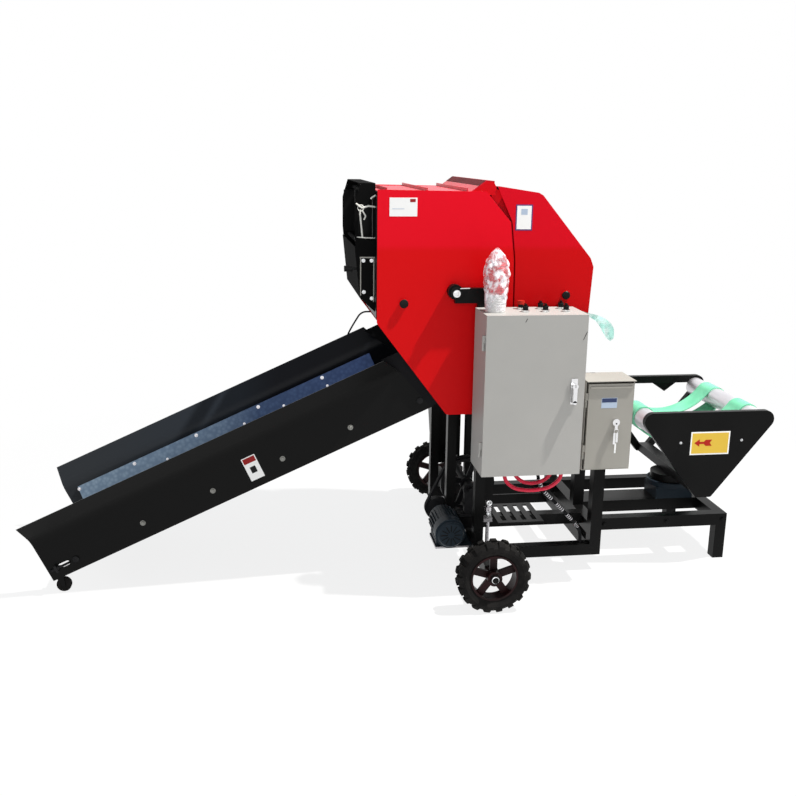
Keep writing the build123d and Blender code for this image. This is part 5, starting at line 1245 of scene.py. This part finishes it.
film_strip()

# %% [markdown]
# ## The studio
#
# The light in the photograph is hard and comes from high on the right. A sun lamp could give it, but it
# would light the low pieces as strongly as the roof. A small strong key lamp hangs there instead, only a
# little towards the near side, so that its light grazes the near faces: bosses and levers draw long
# shadows down to the left. Its small size keeps their edges sharp. A wide soft lamp behind the camera
# fills the near faces.

# %% Lamps
TARGET = Vector((0.0, 0.0, 0.8))


def area_lamp(name, place, size, power, colour):
    """A square lamp that faces the machine."""
    data = bpy.data.lights.new(name, "AREA")
    data.size = size
    data.energy = power
    data.color = colour
    lamp = bpy.data.objects.new(name, data)
    lamp.location = place
    lamp.rotation_euler = (TARGET - Vector(place)).to_track_quat("-Z", "Y").to_euler()
    bpy.context.scene.collection.objects.link(lamp)
    print(name, "gives", power, "W from", size, "m")


area_lamp("key_lamp", (3.1, -1.15, 6.6), 0.12, 840.0, (1.0, 0.98, 0.95))
area_lamp("fill_lamp", (-1.6, -6.4, 3.0), 4.5, 88.0, (0.98, 0.99, 1.0))

# %% [markdown]
# The background is white, but so much white light would wash out the machine's colours. What is seen has
# to differ from what gives light. A light path tells which rays come from the camera, from a mirror
# image or through glass: those see the background, and all others only gather light.

# %% What the camera sees
def seen_directly(tree):
    """1 for what the camera sees directly, in gloss or through glass, else 0."""
    path = tree.nodes.new("ShaderNodeLightPath")
    seen = path.outputs["Is Camera Ray"]
    for other in ("Is Glossy Ray", "Is Transmission Ray"):
        both = tree.nodes.new("ShaderNodeMath")
        both.operation = "MAXIMUM"
        tree.links.new(seen, both.inputs[0])
        tree.links.new(path.outputs[other], both.inputs[1])
        seen = both.outputs[0]
    return seen


def mix_surfaces(tree, share, first, second, target):
    """Two shaders mixed by a share and sent to the tree's output."""
    mix = tree.nodes.new("ShaderNodeMixShader")
    tree.links.new(share, mix.inputs["Fac"])
    tree.links.new(first.outputs[0], mix.inputs[1])
    tree.links.new(second.outputs[0], mix.inputs[2])
    tree.links.new(mix.outputs[0], tree.nodes[target].inputs["Surface"])


print("camera, mirror and glass rays see the background")

# %% [markdown]
# So the world has two strengths: white where it is seen, and a mild blue-grey where it lights the
# machine. A picture of a place round the machine could do both, but it would show up in the paint.

# %% White surroundings
WORLD_LIGHT = 0.29
WORLD_TINT = (0.86, 0.93, 1.0, 1.0)
WHITE_LIGHT = (1.0, 1.0, 1.0, 1.0)


def white_surroundings():
    """The world: white where it is seen, and a mild blue-grey light on the machine."""
    world = bpy.data.worlds.new("white_surroundings")
    world.use_nodes = True
    bpy.context.scene.world = world
    tree = world.node_tree
    seen = tree.nodes["Background"]
    seen.inputs["Color"].default_value = WHITE_LIGHT
    seen.inputs["Strength"].default_value = 1.0
    light = tree.nodes.new("ShaderNodeBackground")
    light.inputs["Color"].default_value = WORLD_TINT
    light.inputs["Strength"].default_value = WORLD_LIGHT
    mix_surfaces(tree, seen_directly(tree), light, seen, "World Output")


white_surroundings()
print("the surroundings light the machine with a strength of", WORLD_LIGHT)

# %% [markdown]
# The floor catches the machine's shadow. A floor as white as the background would hide it, and a grey
# one would show its edge. So the floor is a pale matt sheet, and to the camera it also glows: mostly
# near the machine, where a soft shadow stays visible, and fully a few metres away, where it meets the
# background.

# %% Glow of the floor
FADE_START = 1.2
FADE_END = 3.2
GLOW_AT_MACHINE = 0.84


def floor_glow_share(tree):
    """How much of the glow the camera sees: less near the machine, all of it far away."""
    place = tree.nodes.new("ShaderNodeTexCoord")
    reach = tree.nodes.new("ShaderNodeVectorMath")
    reach.operation = "LENGTH"
    tree.links.new(place.outputs["Object"], reach.inputs[0])
    fade = tree.nodes.new("ShaderNodeMapRange")
    fade.inputs["From Min"].default_value = FADE_START
    fade.inputs["From Max"].default_value = FADE_END
    fade.inputs["To Min"].default_value = GLOW_AT_MACHINE
    fade.inputs["To Max"].default_value = 1.0
    tree.links.new(reach.outputs["Value"], fade.inputs["Value"])
    share = tree.nodes.new("ShaderNodeMath")
    share.operation = "MULTIPLY"
    tree.links.new(seen_directly(tree), share.inputs[0])
    tree.links.new(fade.outputs["Result"], share.inputs[1])
    return share.outputs[0]


print("the floor glows fully beyond", FADE_END, "m from its middle")

# %% [markdown]
# The sheet is one large face. A studio backdrop that curves up behind the machine would do as well, but
# its curve would show from behind. The floor is staged, so it isn't counted as a part of the machine.

# %% Floor
FLOOR_SIZE = 60.0
FLOOR_TONE = (0.82, 0.82, 0.82, 1.0)


def pale_floor():
    """A wide floor: pale and shadowed, and mostly white to the camera."""
    shape = bmesh.new()
    bmesh.ops.create_grid(shape, x_segments=1, y_segments=1, size=FLOOR_SIZE / 2)
    mesh = bpy.data.meshes.new("floor")
    shape.to_mesh(mesh)
    shape.free()
    floor = bpy.data.objects.new("floor", mesh)
    bpy.context.scene.collection.objects.link(floor)
    material = bpy.data.materials.new("pale_floor")
    material.use_nodes = True
    tree = material.node_tree
    shader = tree.nodes["Principled BSDF"]
    shader.inputs["Base Color"].default_value = FLOOR_TONE
    shader.inputs["Roughness"].default_value = 0.9
    glow = tree.nodes.new("ShaderNodeEmission")
    glow.inputs["Strength"].default_value = 1.0
    mix_surfaces(tree, floor_glow_share(tree), shader, glow, "Material Output")
    mesh.materials.append(material)
    floor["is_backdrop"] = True


pale_floor()
bpy.context.scene.view_settings.view_transform = "Standard"
print("the floor is", FLOOR_SIZE, "m wide")

# %% [markdown]
# ## The camera
#
# The picture was taken from 1.8 metres up, four metres from the middle of the machine and a little left
# of the wheels. The camera looks down by fourteen degrees, is turned eight degrees to the right, and
# leans by less than one degree. A Track To constraint would aim it, but not lean it, so its three axes
# are worked out and set as one matrix.

# %% Camera
CAMERA_PLACE = at(-873.1, -4065.2, 1774.1)
CAMERA_DOWN = math.radians(14.417)
CAMERA_RIGHT_TURN = math.radians(8.064)
CAMERA_LEAN = math.radians(0.695)
FILM_WIDTH = 36.0
LENS_LENGTH = 42.684


def place_camera():
    """Aims the camera along its view direction and rolls it by its lean."""
    look = Vector((math.sin(CAMERA_RIGHT_TURN) * math.cos(CAMERA_DOWN),
                   math.cos(CAMERA_RIGHT_TURN) * math.cos(CAMERA_DOWN),
                   -math.sin(CAMERA_DOWN)))
    level = Vector((math.cos(CAMERA_RIGHT_TURN), -math.sin(CAMERA_RIGHT_TURN), 0.0))
    upward = level.cross(look)
    across = level * math.cos(CAMERA_LEAN) + upward * math.sin(CAMERA_LEAN)
    above = upward * math.cos(CAMERA_LEAN) - level * math.sin(CAMERA_LEAN)
    data = bpy.data.cameras.new("camera")
    data.sensor_width = FILM_WIDTH
    data.lens = LENS_LENGTH
    camera = bpy.data.objects.new("camera", data)
    turn = Matrix((across, above, -look)).transposed().to_4x4()
    camera.matrix_world = Matrix.Translation(CAMERA_PLACE) @ turn
    bpy.context.scene.collection.objects.link(camera)
    bpy.context.scene.camera = camera


place_camera()
print("the camera stands", round(CAMERA_PLACE.z, 2), "m above the floor")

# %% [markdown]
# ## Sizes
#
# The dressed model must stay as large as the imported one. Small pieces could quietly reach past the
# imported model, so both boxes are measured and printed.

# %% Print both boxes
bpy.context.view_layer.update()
for kind, (low, high) in (("packed", cad_box), ("dressed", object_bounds())):
    print("the", kind, "machine measures", [round(end - start, 3) for start, end in zip(low, high)], "m")
